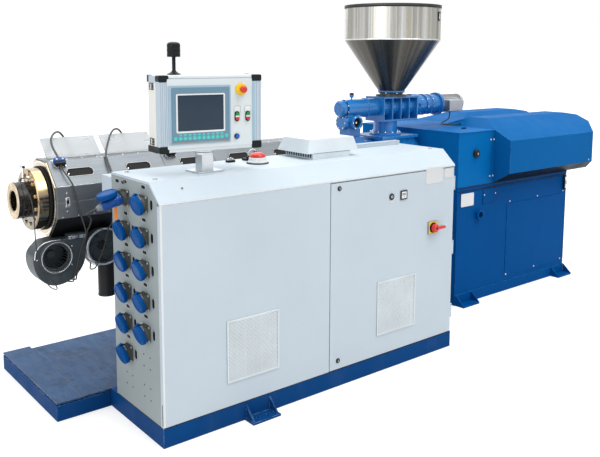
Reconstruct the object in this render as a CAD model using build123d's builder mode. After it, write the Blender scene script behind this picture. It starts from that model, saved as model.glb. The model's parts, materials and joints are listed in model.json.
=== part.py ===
from build123d import *
from math import cos, pi, radians, sin, tan
import os

os.makedirs("parts", exist_ok=True)

# Twin-screw plastic extruder: millimetres, +Z up, floor at z = 0.
# X runs along the machine from the die end (low X) to the drive end (high X).
# Y = 0 is the vertical plane through the screw axis, and the cabinet stands at low Y.
# X = 0 is the socket end of the control cabinet.

# Screw axis and clearances
axis_height = 1100
seat_gap = 0.3
cover_seam = 0.8
moving_gap = 6

# Base frame under the barrel
base_left_x = -300
base_half_width = 428
base_height = 100
deck_thickness = 8
deck_shadow = 8
deck_inset = 12
deck_seam_x = -142
deck_seam_gap = 0.8
deck_back_step = 45

# Stand under the gearbox and the drive
stand_left_x = 2740
stand_length = 1450
stand_half_depth = 515
stand_height = 905
channel_height = 80
channel_step = 5
ledge_depth = 36
groove = 5
end_cover_x = 40
foot_width = 190
foot_reach = 78
foot_thickness = 12
foot_gusset = 8
foot_hole_radius = 9
foot_inset = 8
panel_thickness = 4
access_panel_left_x = 3353
access_panel_width = 797
access_panel_bottom = 121
access_panel_height = 591
hatch_x = 3044
hatch_z = 748
hatch_width = 158
hatch_height = 116
filler_x = 2990
filler_z = 675
filler_radius = 38
filler_bore = 26
filler_reach = 30

# Gearbox housing and the two drive hoods
gearbox_length = 418
gearbox_height = 407
lid_thickness = 7
hood_right_x = 4490
hood_bevel_x = 4320
hood_front_y = 669
hood_front_low = 992
hood_front_high = 1245
hood_shoulder_z = 1318
hood_top_z = 1389
hood_top_front_y = 355
hood_top_back_y = 170
hood_valley_y = 0.2
hood_end_drop = 21
hood_end_run = 137
front_hip_start = 1
front_hip_run = 125
hood_gland_radius = 9
hood_gland_left_x = 3180
hood_gland_right_x = 3240
hood_gland_y = -159
hood_gland_z = 1340
rear_hip_start = 236
rear_hip_run = 282
lock_x = 2938
lock_z = 1151
lock_radius = 22

# Barrel, its octagonal covers and the raised guard sheets
barrel_radius = 120
cover_count = 5
cover_pitch = 350
cover_gap = 3
cover_left_x = -176
second_cover_x = 150
cover_apothem = 210
slot_length = 153
slot_width = 52
slot_corner = 14
slot_depth = 14
slot_inset_x = 167
clip_offset_x = 55
clip_size = 24
clip_height = 13
clip_reach = 6
guard_count = 4
guard_left_x = -137
guard_length = 320
guard_width = 146
guard_thickness = 4
guard_foot_y = 30
guard_foot_width = 40
connector_offset_x = 58
connector_drop = 14
connector_length = 60
connector_width = 44
connector_height = 32

# Die end
end_plate_thickness = 8
end_plate_apothem = 204
flange_radius = 170
flange_left_x = -262
flange_right_x = -198
flange_neck_radius = 140
flange_chamfer = 6
die_radius = 97
die_left_x = -338
die_ring_radius = 101
die_ring_width = 13
die_bore_radius = 62
die_bore_depth = 60
sensor_y = -52
sensor_z = 1228
sensor_radius = 7
sensor_reach = 18
pin_x = -279
pin_radius = 6
pin_top_z = 1288
pin_handle_length = 44

# Cooling blowers under the covers
blower_x = -171
blower_gap = 1
blower_front_y = -160
blower_back_y = -42
blower_wall = 6
scroll_top_gap = 6
scroll_left_gap = 38
scroll_bottom_gap = 67
scroll_right_gap = 75
duct_left = 70
duct_front_depth = 54
inlet_radius = 76
rotor_radius = 83
rotor_inner_radius = 68
rotor_blades = 28
blade_thickness = 3
blade_angle = 35
rotor_disc = 5
rotor_front_gap = 7
rotor_back_gap = 10
rotor_shaft_radius = 10
shaft_clearance = 0.3
shaft_hole_radius = 22
shaft_depth = 40
zone_blower_x = 102
zone_blower_count = 4
zone_blower_radius = 95
cowl_radius = 104
cowl_bore = 95
cowl_lift = 20
cowl_front_y = -172
cowl_depth = 50
blower_motor_radius = 62
blower_motor_length = 118
terminal_box_width = 76
terminal_box_depth = 44
terminal_box_drop = 78
pot_offset_x = 54
pot_y = -60
pot_radius = 48
pot_drop = 297

# Barrel supports
support_centres = (627, 1640)
support_length = 70
support_width = 150
support_foot = 60
support_foot_thickness = 20

# Feed throat, vent stack and the outlet neck of the feeder
throat_left_x = 1990
throat_radius = 160
vent_left_x = 2060
vent_length = 120
vent_half_width = 48
vent_base_margin = 22
vent_base_top = 1290
vent_port_z = 1396
vent_port_radius = 54
vent_port_reach = 32
vent_port_bore = 36
neck_x = 2487
neck_radius = 89
neck_flange_radius = 123
neck_flange_thickness = 11
saddle_top_z = 1285
saddle_half_length = 190
saddle_half_width = 165
saddle_thickness = 20

# Twin-shaft feeder
feeder_z = 1497
feeder_left_x = 2371
feeder_length = 369
feeder_half_width = 100
feeder_bottom_z = 1390
feeder_top_z = 1575
feeder_plate = 13
feeder_core_radius = 74
rib_count = 5
rib_thickness = 8
feeder_skirt_radius = 112
tube_left_x = 2055
tube_radius = 67
tube_ring_x = 2255
tube_ring_radius = 72
tube_ring_width = 10
cap_left_x = 2003
cap_radius = 60
cap_length = 36
collar_radius = 48
knob_x = 2133
knob_radius = 17
knob_stem_radius = 5
knob_height = 26
adapter_length = 72
adapter_radius = 88
adapter_hole_radius = 16
gear_radius = 76
gear_rings = ((2878, 84, 18), (2945, 81, 14), (3044, 91, 26))
motor_left_x = 3070
motor_radius = 68
motor_length = 265
motor_gland_x = 3240
motor_gland_radius = 9
motor_gland_length = 12
terminal_left_x = 3100
terminal_length = 165
terminal_height = 88
terminal_z = 1483
terminal_reach = 44

# Hopper over the feeder
hopper_x = 2546
hopper_radius = 361
hopper_wall = 5
hopper_rim_z = 2240
hopper_cone_top_z = 1999
hopper_outlet_radius = 88
hopper_outlet_z = 1598
hopper_flange_radius = 118
hopper_flange_thickness = 12
lid_overhang = 5
lid_height = 16
lid_lip = 10
lid_hinge_offset = 14
lid_hinge_radius = 5
lid_knuckle_radius = 9
lid_knuckle_length = 60
lid_ear_length = 12

# Control cabinet
cabinet_length = 2098
cabinet_front_y = -1010
cabinet_depth = 505
plinth_height = 100
cabinet_edge_z = 1200
slope_run = 100
cabinet_top_z = 1290
sheet = 12
door_thickness = 22
door_left_x = 1056
door_right_gap = 6
door_margin_z = 5
door_split = 6
mullion_width = 28
mullion_depth = 40
gutter_height = 46
hinge_offset = 7
hinge_y = -1000
hinge_pin_radius = 5
hinge_knuckle_radius = 8
hinge_height = 60
hinge_ear = 14
hinge_heights = (240, 660, 1080)
hinge_leaf = 6
grille_size = 332
grille_thickness = 6
left_grille_x = 529
right_grille_inset = 506
grille_z = 392
lug_x = 560
lug_width = 176
lug_reach = 80
lug_thickness = 12
lug_gusset = 8
lug_gusset_height = 80
lug_hole_radius = 8
lug_hole_spacing = 62
lug_hole_y = -1051
door_lock_inset = 60
door_lock_heights = (155, 1152)
door_lock_radius = 14
door_lock_reach = 8
key_switch_inset = 563
meter_inset = 461
instrument_z = 1058
instrument_size = 52
instrument_reach = 9

# Main switch on the door
switch_inset = 199
switch_z = 822
switch_plate = 80
switch_plate_thickness = 12
switch_hub_radius = 27
switch_hub_reach = 26
switch_lever_length = 84
switch_lever_width = 22
switch_lever_thickness = 18
switch_stem_radius = 12
switch_stand_off = 6

# Sockets on the cabinet's end panel
socket_pitch = 160
socket_top_z = 1180
near_socket_y = -860
far_socket_y = -665
near_rows = (0, 1, 2, 3, 4)
far_rows = (1, 2, 3, 4, 5)
socket_flange = 82
socket_flange_thickness = 12
socket_body_radius = 38
socket_body_reach = 16
socket_lid_radius = 52
socket_lid_thickness = 24
socket_tab_width = 30
socket_tab_reach = 8
plug_tilt = 17
plug_radius = 29
plug_length = 106
plug_gland_radius = 15
plug_gland_length = 26
open_lid_rise = 4
hinge_lug_width = 16
hinge_lug_top = 50
trunk_depth = 118
trunk_bottom_z = 1120
trunk_top_z = 1262
trunk_right_x = 1560
trunk_gap = 0.3

# Roof fan housing and signal lamp
fan_base_x = (1112, 1400)
fan_base_y = (-784, -530)
fan_base_height = 34
fan_hood_x = (1070, 1462)
fan_hood_y = (-788, -503)
fan_top_x = (1096, 1438)
fan_top_y = (-770, -528)
fan_hood_bottom_z = 1324
fan_hood_top_z = 1403
lamp_x = 774
lamp_y = -710
lamp_gasket_radius = 62
lamp_gasket = 6
lamp_body_radius = 52
lamp_body_height = 30
lamp_dome_radius = 42
lamp_dome_height = 26

# Operator panel on its swivel post
post_x = 390
post_y = -775
panel_turn = -7
post_width = 66
post_flange_x = 150
post_flange_y = 130
post_flange_thickness = 8
post_top_z = 1392
post_cap_radius = 48
post_pivot_radius = 20
post_pivot_height = 16
panel_bottom_z = 1410
panel_height = 377
panel_width = 562
panel_depth = 152
panel_corner = 8
panel_front = 100
panel_boss_height = 16
front_plate_width = 462
front_plate_margin = 16
front_plate_x = -6
front_plate_reach = 3
bezel_width = 335
bezel_height = 288
bezel_centre_x = -67
bezel_top_margin = 50
bezel_reach = 8
beacon_x = -152
beacon_y = 16
beacon_base_radius = 34
beacon_base_height = 18
beacon_stem_radius = 9
beacon_radius = 33
beacon_bottom = 88
beacon_height = 74
stop_x = 160
stop_z = 1713.5
stop_collar_radius = 31
stop_collar_reach = 14
stop_stem_radius = 11
stop_head_radius = 18
stop_head_thickness = 18
stop_stroke_gap = 14
stop_stem_grip = 4
double_button_x = (137, 198)
double_button_z = 1576
double_button_width = 26
double_button_height = 52
button_reach = 12
reset_button_x = 135
reset_button_z = 1474.5
reset_button_radius = 14

# Free leads and conduits
lead_diameter = 8
thin_lead_diameter = 6
conduit_diameter = 12
motor_lead_diameter = 9
arc_share = 0.45

# Sizes that follow from the ones above
stand_right_x = stand_left_x + stand_length
cover_starts = [cover_left_x]
cover_starts += [second_cover_x + index * cover_pitch for index in range(cover_count - 1)]
cover_ends = [start - cover_gap for start in cover_starts[1:]]
cover_ends.append(cover_starts[-1] + cover_pitch - cover_gap)
gearbox_right_x = stand_left_x + gearbox_length
gearbox_top_z = stand_height + seat_gap + gearbox_height + lid_thickness
cover_half_side = cover_apothem * tan(radians(22.5))
cover_bottom_z = axis_height - cover_apothem
cover_top_z = axis_height + cover_apothem
blower_top = rotor_radius + scroll_top_gap + blower_wall
blower_left = rotor_radius + scroll_left_gap + blower_wall
blower_bottom = rotor_radius + scroll_bottom_gap + blower_wall
blower_right = rotor_radius + scroll_right_gap + blower_wall
blower_z = cover_bottom_z - blower_top - blower_gap
duct_front_top = cover_bottom_z - blower_front_y - duct_front_depth - cover_half_side - 2 * seat_gap
terminal_box_bottom = blower_z - terminal_box_drop
cabinet_back_y = cabinet_front_y + cabinet_depth
panel_back_y = cabinet_front_y + door_thickness
frame_front_y = panel_back_y + door_split
door_bottom_z = plinth_height + door_margin_z
door_top_z = cabinet_edge_z - sheet - door_margin_z
door_right_x = cabinet_length - door_right_gap
hinge_x = cabinet_length + hinge_offset
right_grille_x = door_right_x - right_grille_inset
key_switch_x = door_right_x - key_switch_inset
meter_x = door_right_x - meter_inset
switch_x = door_right_x - switch_inset
lid_radius = hopper_radius + lid_overhang
feeder_right_x = feeder_left_x + feeder_length
motor_right_x = motor_left_x + motor_length
octagon = [
    (-cover_half_side, cover_apothem),
    (cover_half_side, cover_apothem),
    (cover_apothem, cover_half_side),
    (cover_apothem, -cover_half_side),
    (cover_half_side, -cover_apothem),
    (-cover_half_side, -cover_apothem),
    (-cover_apothem, -cover_half_side),
    (-cover_apothem, cover_half_side),
]


def block(x_span, y_span, z_span, mode=Mode.ADD):
    """A box between two limits on each axis."""
    sizes = [high - low for low, high in (x_span, y_span, z_span)]
    centre = tuple((low + high) / 2 for low, high in (x_span, y_span, z_span))
    with Locations(centre):
        Box(*sizes, mode=mode)


def prism_x(points, x_span, mode=Mode.ADD):
    """A prism along X from an outline of (y, z) points."""
    with BuildSketch(Plane.YZ.offset(x_span[0])) as outline:
        with BuildLine():
            Polyline(*points, close=True)
        make_face()
    extrude(outline.sketch, amount=x_span[1] - x_span[0], mode=mode)


def prism_y(points, y_span, mode=Mode.ADD):
    """A prism along Y from an outline of (x, z) points."""
    with BuildSketch(Plane.XZ.offset(-y_span[0])) as outline:
        with BuildLine():
            Polyline(*points, close=True)
        make_face()
    extrude(outline.sketch, amount=-(y_span[1] - y_span[0]), mode=mode)


def prism_z(points, z_span, mode=Mode.ADD):
    """A prism along Z from an outline of (x, y) points."""
    with BuildSketch(Plane.XY.offset(z_span[0])) as outline:
        with BuildLine():
            Polyline(*points, close=True)
        make_face()
    extrude(outline.sketch, amount=z_span[1] - z_span[0], mode=mode)


def rod_x(radius, x_span, y=0, z=axis_height, mode=Mode.ADD):
    """A round bar along X."""
    with Locations(((x_span[0] + x_span[1]) / 2, y, z)):
        Cylinder(radius, x_span[1] - x_span[0], rotation=(0, 90, 0), mode=mode)


def rod_y(radius, y_span, x, z, mode=Mode.ADD):
    """A round bar along Y."""
    with Locations((x, (y_span[0] + y_span[1]) / 2, z)):
        Cylinder(radius, y_span[1] - y_span[0], rotation=(90, 0, 0), mode=mode)


def rod_z(radius, z_span, x, y, mode=Mode.ADD):
    """A round bar along Z."""
    with Locations((x, y, (z_span[0] + z_span[1]) / 2)):
        Cylinder(radius, z_span[1] - z_span[0], mode=mode)


def save(builder, name):
    """Label a finished piece and write it."""
    builder.part.label = name
    export_step(builder.part, f"parts/{name}.step")


# Base frame: a low welded box with a shadow gap under its deck
deck_bottom_z = base_height - deck_thickness
frame_top_z = deck_bottom_z - deck_shadow
with BuildPart() as base_frame:
    block(
        (base_left_x, stand_left_x - seat_gap),
        (-base_half_width, base_half_width),
        (0, frame_top_z),
    )
    block(
        (base_left_x + deck_inset, stand_left_x - seat_gap),
        (-base_half_width + deck_inset, base_half_width - deck_inset - deck_back_step),
        (frame_top_z, deck_bottom_z),
    )
save(base_frame, "base_frame")

with BuildPart() as deck_plates:
    block(
        (base_left_x, deck_seam_x),
        (-base_half_width, base_half_width),
        (deck_bottom_z, base_height),
    )
    block(
        (deck_seam_x + deck_seam_gap, stand_left_x - seat_gap),
        (-base_half_width, base_half_width - deck_back_step),
        (deck_bottom_z, base_height),
    )
save(deck_plates, "deck_plates")

# Supports between the deck and the barrel
with BuildPart() as barrel_supports:
    for centre_x, top_z in zip(support_centres, (cover_bottom_z, axis_height)):
        block(
            (centre_x - support_length / 2, centre_x + support_length / 2),
            (-support_width / 2, support_width / 2),
            (base_height, top_z - seat_gap),
        )
        block(
            (centre_x - support_length / 2, centre_x + support_length / 2),
            (-support_width / 2 - support_foot, support_width / 2 + support_foot),
            (base_height, base_height + support_foot_thickness),
        )
    rod_x(barrel_radius + seat_gap, (support_centres[1] - 100, support_centres[1] + 100), mode=Mode.SUBTRACT)
save(barrel_supports, "barrel_supports")

# Stand: a closed sheet housing on a base channel, with a ledge along its top
stand_front_y = -stand_half_depth
with BuildPart() as stand_body:
    block(
        (stand_left_x, stand_right_x),
        (-stand_half_depth - channel_step, stand_half_depth + channel_step),
        (0, channel_height),
    )
    block(
        (stand_left_x, stand_right_x),
        (-stand_half_depth, stand_half_depth),
        (channel_height, stand_height),
    )
    for side in (-1, 1):
        edge = side * stand_half_depth
        span = sorted((edge, edge - side * groove))
        block(
            (stand_left_x, stand_right_x),
            span,
            (stand_height - ledge_depth - groove, stand_height - ledge_depth),
            mode=Mode.SUBTRACT,
        )
        block(
            (stand_right_x - end_cover_x - groove, stand_right_x - end_cover_x),
            span,
            (channel_height, stand_height - ledge_depth),
            mode=Mode.SUBTRACT,
        )
    rod_y(filler_radius, (stand_front_y - filler_reach, stand_front_y), filler_x, filler_z)
    rod_y(
        filler_bore,
        (stand_front_y - filler_reach, stand_front_y + filler_reach),
        filler_x,
        filler_z,
        mode=Mode.SUBTRACT,
    )
save(stand_body, "stand_body")

# Gusseted floor feet, two along each side of the stand
foot_edge_y = stand_half_depth + channel_step + seat_gap
foot_starts = (stand_left_x + foot_inset, stand_right_x - foot_width + foot_inset)
with BuildPart() as stand_feet:
    for side in (-1, 1):
        for start_x in foot_starts:
            block(
                (start_x, start_x + foot_width),
                sorted((side * foot_edge_y, side * (foot_edge_y + foot_reach))),
                (0, foot_thickness),
            )
            for gusset_x in (start_x, start_x + foot_width - foot_gusset):
                prism_x(
                    [
                        (side * foot_edge_y, foot_thickness),
                        (side * foot_edge_y, channel_height),
                        (side * (foot_edge_y + foot_reach), foot_thickness),
                    ],
                    (gusset_x, gusset_x + foot_gusset),
                )
            rod_z(
                foot_hole_radius,
                (0, foot_thickness),
                start_x + foot_width / 2,
                side * (foot_edge_y + foot_reach * 0.6),
                mode=Mode.SUBTRACT,
            )
save(stand_feet, "stand_feet")

# Screwed access panels and the small hatch, on both long sides
with BuildPart() as stand_panels:
    for side in (-1, 1):
        skin = sorted((side * stand_half_depth, side * (stand_half_depth + panel_thickness)))
        block(
            (access_panel_left_x, access_panel_left_x + access_panel_width - groove),
            skin,
            (access_panel_bottom, access_panel_bottom + access_panel_height),
        )
        block(
            (hatch_x, hatch_x + hatch_width),
            skin,
            (hatch_z, hatch_z + hatch_height),
        )
save(stand_panels, "stand_panels")

# Gearbox housing with its flat lid
gearbox_bottom_z = stand_height + seat_gap
with BuildPart() as gearbox_housing:
    block(
        (stand_left_x, gearbox_right_x),
        (-stand_half_depth, stand_half_depth),
        (gearbox_bottom_z, gearbox_top_z - lid_thickness),
    )
    block(
        (stand_left_x - groove, gearbox_right_x),
        (-stand_half_depth - groove, stand_half_depth + groove),
        (gearbox_top_z - lid_thickness, gearbox_top_z),
    )
    rod_y(lock_radius, (-stand_half_depth - 14, -stand_half_depth), lock_x, lock_z)
save(gearbox_housing, "gearbox_housing")


def drive_hood(side, hip_start, hip_run):
    """A folded sheet hood: three outlines crossed, one for each direction."""
    hood_left_x = gearbox_right_x + seat_gap
    corner_y = side * (stand_half_depth + groove)
    across = [
        (side * hood_valley_y, gearbox_bottom_z),
        (side * stand_half_depth, gearbox_bottom_z),
        (side * hood_front_y, hood_front_low),
        (side * hood_front_y, hood_front_high),
        (corner_y, hood_shoulder_z),
        (side * hood_top_front_y, hood_top_z),
        (side * hood_top_back_y, hood_top_z),
        (side * hood_valley_y, hood_shoulder_z),
    ]
    along = [
        (hood_left_x, gearbox_bottom_z),
        (hood_left_x, hood_shoulder_z),
        (hood_left_x + hip_start, hood_shoulder_z),
        (hood_left_x + hip_start + hip_run, hood_top_z),
        (hood_right_x - hood_end_run, hood_top_z),
        (hood_right_x, hood_top_z - hood_end_drop),
        (hood_right_x, gearbox_bottom_z),
    ]
    plan = [
        (hood_left_x, 0),
        (hood_left_x, side * hood_front_y),
        (hood_bevel_x, side * hood_front_y),
        (hood_right_x, corner_y),
        (hood_right_x, 0),
    ]
    prism_x(across, (hood_left_x, hood_right_x))
    prism_y(along, (-hood_front_y, hood_front_y), mode=Mode.INTERSECT)
    prism_z(plan, (gearbox_bottom_z, hood_top_z), mode=Mode.INTERSECT)


with BuildPart() as front_drive_hood:
    drive_hood(-1, front_hip_start, front_hip_run)
    rod_x(hood_gland_radius, (hood_gland_left_x, hood_gland_right_x), hood_gland_y, hood_gland_z)
save(front_drive_hood, "front_drive_hood")

with BuildPart() as rear_drive_hood:
    drive_hood(1, rear_hip_start, rear_hip_run)
save(rear_drive_hood, "rear_drive_hood")

# Barrel: one steel body from the die end to the gearbox
with BuildPart() as barrel:
    rod_x(barrel_radius, (flange_right_x, stand_left_x - groove - seat_gap))
    rod_x(
        die_bore_radius,
        (flange_right_x, flange_right_x + die_bore_depth),
        mode=Mode.SUBTRACT,
    )
save(barrel, "barrel")

# Octagonal barrel covers: an upper and a lower half for each heating zone
slope_centre = (cover_apothem + cover_half_side) / 2


def cover_halves(z_span):
    """One row of cover halves between two heights."""
    for start_x, end_x in zip(cover_starts, cover_ends):
        prism_x([(y, axis_height + z) for y, z in octagon], (start_x, end_x))
        for side in (-1, 1):
            slope = Plane(
                origin=(end_x - slot_inset_x, side * slope_centre, axis_height + slope_centre),
                x_dir=(1, 0, 0),
                z_dir=(0, side, 1),
            )
            with BuildSketch(slope) as slot:
                Rectangle(slot_length, slot_width)
                chamfer(slot.vertices(), slot_corner)
            extrude(slot.sketch, amount=-slot_depth, mode=Mode.SUBTRACT)
            block(
                (start_x + clip_offset_x - clip_size / 2, start_x + clip_offset_x + clip_size / 2),
                sorted((side * cover_apothem, side * (cover_apothem + clip_reach))),
                (axis_height - clip_height, axis_height + clip_height),
            )
    row_span = (cover_starts[0], cover_ends[-1])
    rod_x(barrel_radius + seat_gap, row_span, mode=Mode.SUBTRACT)
    block(row_span, (-cover_apothem - clip_reach, cover_apothem + clip_reach), z_span, mode=Mode.INTERSECT)


with BuildPart() as upper_covers:
    cover_halves((axis_height + cover_seam / 2, cover_top_z))
save(upper_covers, "upper_covers")

with BuildPart() as lower_covers:
    cover_halves((cover_bottom_z, axis_height - cover_seam / 2))
save(lower_covers, "lower_covers")

# Guard sheets screwed along the top of the covers and leaning back
lean = guard_width * cos(radians(45))
with BuildPart() as guard_sheets:
    for index in range(guard_count):
        start_x = guard_left_x + index * cover_pitch
        prism_x(
            [
                (guard_foot_y - guard_foot_width, cover_top_z + seat_gap),
                (guard_foot_y, cover_top_z + seat_gap),
                (guard_foot_y + lean, cover_top_z + seat_gap + lean),
                (guard_foot_y + lean - guard_thickness, cover_top_z + seat_gap + lean),
                (guard_foot_y - guard_thickness, cover_top_z + seat_gap + guard_thickness),
                (guard_foot_y - guard_foot_width, cover_top_z + seat_gap + guard_thickness),
            ],
            (start_x, start_x + guard_length),
        )
save(guard_sheets, "guard_sheets")

# Plug-in connectors of the heater leads, on the front slope of covers 1 and 3
with BuildPart() as heater_connectors:
    for index in (0, 2):
        slope = Plane(
            origin=(
                cover_starts[index] + connector_offset_x,
                -cover_half_side - connector_drop,
                cover_top_z - connector_drop,
            ),
            x_dir=(1, 0, 0),
            z_dir=(0, -1, 1),
        )
        with BuildSketch(slope.offset(seat_gap)):
            Rectangle(connector_length, connector_width)
        extrude(amount=connector_height)
save(heater_connectors, "heater_connectors")

# Die end: end plate, clamping flange, die body with its face ring, and locking pin
end_plate_scale = end_plate_apothem / cover_apothem
with BuildPart() as end_plate:
    prism_x(
        [(y * end_plate_scale, axis_height + z * end_plate_scale) for y, z in octagon],
        (cover_left_x - end_plate_thickness - seat_gap, cover_left_x - seat_gap),
    )
    rod_x(
        barrel_radius + seat_gap,
        (cover_left_x - end_plate_thickness - 1, cover_left_x),
        mode=Mode.SUBTRACT,
    )
save(end_plate, "end_plate")

plate_left_x = cover_left_x - end_plate_thickness - 2 * seat_gap
with BuildPart() as end_flange:
    rod_x(flange_radius, (flange_left_x, flange_right_x - seat_gap))
    rod_x(flange_neck_radius, (flange_right_x - seat_gap, plate_left_x))
    rod_x(barrel_radius + seat_gap, (flange_right_x - seat_gap, plate_left_x), mode=Mode.SUBTRACT)
    rod_x(die_bore_radius, (flange_left_x, flange_right_x), mode=Mode.SUBTRACT)
    rod_x(sensor_radius, (flange_left_x - sensor_reach, flange_left_x), y=sensor_y, z=sensor_z)
    rim_edges = end_flange.edges().filter_by(GeomType.CIRCLE)
    chamfer(rim_edges.filter_by(lambda e: abs(e.radius - flange_radius) < seat_gap), flange_chamfer)
save(end_flange, "end_flange")

with BuildPart() as die_body:
    rod_x(die_radius, (die_left_x, flange_left_x - seat_gap))
    rod_x(die_ring_radius, (die_left_x, die_left_x + die_ring_width))
    rod_x(die_bore_radius, (die_left_x, flange_left_x), mode=Mode.SUBTRACT)
save(die_body, "die_body")

with BuildPart() as locking_pin:
    rod_z(pin_radius, (axis_height + die_radius + seat_gap, pin_top_z), pin_x, 0)
    rod_z(
        2 * pin_radius,
        (axis_height + die_radius + seat_gap, axis_height + die_radius + 4 * pin_radius),
        pin_x,
        0,
    )
    rod_y(pin_radius, (-pin_handle_length / 2, pin_handle_length / 2), pin_x, pin_top_z)
save(locking_pin, "locking_pin")


# The first blower shows its impeller, so its snail is hollow
inside_front_y = blower_front_y + blower_wall
inside_back_y = blower_back_y - blower_wall
duct_top_z = cover_bottom_z - seat_gap


def snail(shrink, y_span, mode=Mode.ADD):
    """A snail that widens from its top round to its outlet on the right."""
    left = blower_left - shrink
    right = blower_right - shrink
    top = blower_top - shrink
    bottom = blower_bottom - shrink
    face = Plane(origin=(blower_x, y_span[0], blower_z), x_dir=(1, 0, 0), z_dir=(0, -1, 0))
    with BuildSketch(face) as outline:
        with BuildLine():
            EllipticalCenterArc((0, 0), left, top, start_angle=90, arc_size=90)
            EllipticalCenterArc((0, 0), left, bottom, start_angle=180, arc_size=90)
            EllipticalCenterArc((0, 0), right, bottom, start_angle=270, arc_size=90)
            Polyline((right, 0), (right, top), (0, top))
        make_face()
    extrude(outline.sketch, amount=y_span[0] - y_span[1], mode=mode)


def zone_blower(centre_x):
    """A closed blower with a round cowl in front, joined to the cover above."""
    cowl_back_y = cowl_front_y + cowl_depth
    cowl_z = blower_z + cowl_lift
    rod_y(zone_blower_radius, (cowl_back_y, blower_back_y), centre_x, blower_z)
    rod_y(cowl_radius, (cowl_front_y, cowl_back_y), centre_x, cowl_z)
    rod_y(cowl_bore, (cowl_front_y, cowl_back_y - blower_wall), centre_x, cowl_z, mode=Mode.SUBTRACT)
    block(
        (centre_x, centre_x + zone_blower_radius),
        (-cover_half_side, blower_back_y),
        (blower_z, duct_top_z),
    )


with BuildPart() as blower_housings:
    snail(0, (blower_front_y, blower_back_y))
    block(
        (blower_x + duct_left, blower_x + blower_right),
        (blower_front_y, blower_front_y + duct_front_depth),
        (blower_z + blower_top - blower_wall, duct_front_top),
    )
    snail(blower_wall, (inside_front_y, inside_back_y), mode=Mode.SUBTRACT)
    rod_y(inlet_radius, (blower_front_y, inside_front_y), blower_x, blower_z, mode=Mode.SUBTRACT)
    rod_y(shaft_hole_radius, (inside_back_y, blower_back_y), blower_x, blower_z, mode=Mode.SUBTRACT)
    for index in range(zone_blower_count):
        zone_blower(zone_blower_x + index * cover_pitch)
save(blower_housings, "blower_housings")

rotor_front_y = inside_front_y + rotor_front_gap
rotor_back_y = inside_back_y - rotor_back_gap
with BuildPart() as blower_rotor:
    rod_y(rotor_radius, (rotor_back_y - rotor_disc, rotor_back_y), blower_x, blower_z)
    rod_y(rotor_radius, (rotor_front_y, rotor_front_y + rotor_disc), blower_x, blower_z)
    rod_y(
        rotor_inner_radius,
        (rotor_front_y, rotor_front_y + rotor_disc),
        blower_x,
        blower_z,
        mode=Mode.SUBTRACT,
    )
    blade_plane = Plane(origin=(blower_x, rotor_front_y, blower_z), x_dir=(1, 0, 0), z_dir=(0, 1, 0))
    with BuildSketch(blade_plane):
        with PolarLocations((rotor_radius + rotor_inner_radius) / 2, rotor_blades):
            Rectangle(rotor_radius - rotor_inner_radius, blade_thickness, rotation=blade_angle)
    extrude(amount=rotor_back_y - rotor_front_y)
    rod_y(rotor_radius / 4, (rotor_back_y - 4 * rotor_disc, rotor_back_y), blower_x, blower_z)
    rod_y(rotor_shaft_radius, (rotor_back_y, blower_back_y + shaft_depth), blower_x, blower_z)
save(blower_rotor, "blower_rotor")

motor_back_y = blower_back_y + seat_gap + blower_motor_length
motor_centres = [blower_x]
motor_centres += [zone_blower_x + index * cover_pitch for index in range(zone_blower_count)]
with BuildPart() as blower_motors:
    for centre_x in motor_centres:
        rod_y(blower_motor_radius, (blower_back_y + seat_gap, motor_back_y), centre_x, blower_z)
        block(
            (centre_x - terminal_box_width / 2, centre_x + terminal_box_width / 2),
            (0, terminal_box_depth),
            (terminal_box_bottom, blower_z),
        )
    rod_y(
        rotor_shaft_radius + shaft_clearance,
        (blower_back_y, blower_back_y + shaft_depth + moving_gap),
        blower_x,
        blower_z,
        mode=Mode.SUBTRACT,
    )
    rod_z(pot_radius, (blower_z - pot_drop, blower_z), zone_blower_x + pot_offset_x, pot_y)
    rod_y(
        zone_blower_radius + seat_gap,
        (cowl_front_y, blower_back_y + seat_gap),
        zone_blower_x,
        blower_z,
        mode=Mode.SUBTRACT,
    )
save(blower_motors, "blower_motors")

# Feed throat: the water-cooled feed section with the saddle for the feeder
with BuildPart() as feed_throat:
    rod_x(throat_radius, (throat_left_x, stand_left_x - groove - seat_gap))
    block(
        (neck_x - saddle_half_length + saddle_thickness, neck_x + saddle_half_length - saddle_thickness),
        (-saddle_half_width + saddle_thickness, saddle_half_width - saddle_thickness),
        (axis_height, saddle_top_z - saddle_thickness),
    )
    block(
        (neck_x - saddle_half_length, neck_x + saddle_half_length),
        (-saddle_half_width, saddle_half_width),
        (saddle_top_z - saddle_thickness, saddle_top_z),
    )
    block(
        (vent_left_x - vent_base_margin, vent_left_x + vent_length + vent_base_margin),
        (-vent_half_width - vent_base_margin, vent_half_width + vent_base_margin),
        (axis_height, vent_base_top),
    )
    rod_x(barrel_radius + seat_gap, (throat_left_x, stand_left_x), mode=Mode.SUBTRACT)
save(feed_throat, "feed_throat")

with BuildPart() as vent_stack:
    block(
        (vent_left_x, vent_left_x + vent_length),
        (-vent_half_width, vent_half_width),
        (vent_base_top + seat_gap, feeder_z - tube_radius + 20),
    )
    rod_y(
        vent_port_radius,
        (-vent_half_width - vent_port_reach, -vent_half_width),
        vent_left_x + vent_length / 2,
        vent_port_z,
    )
    rod_x(
        vent_port_radius,
        (vent_left_x - vent_port_reach, vent_left_x),
        z=vent_port_z,
    )
    rod_y(
        vent_port_bore,
        (-vent_half_width - vent_port_reach, -vent_half_width + 40),
        vent_left_x + vent_length / 2,
        vent_port_z,
        mode=Mode.SUBTRACT,
    )
    rod_x(
        tube_radius + seat_gap,
        (vent_left_x - vent_port_reach, vent_left_x + vent_length),
        z=feeder_z,
        mode=Mode.SUBTRACT,
    )
save(vent_stack, "vent_stack")

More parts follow.
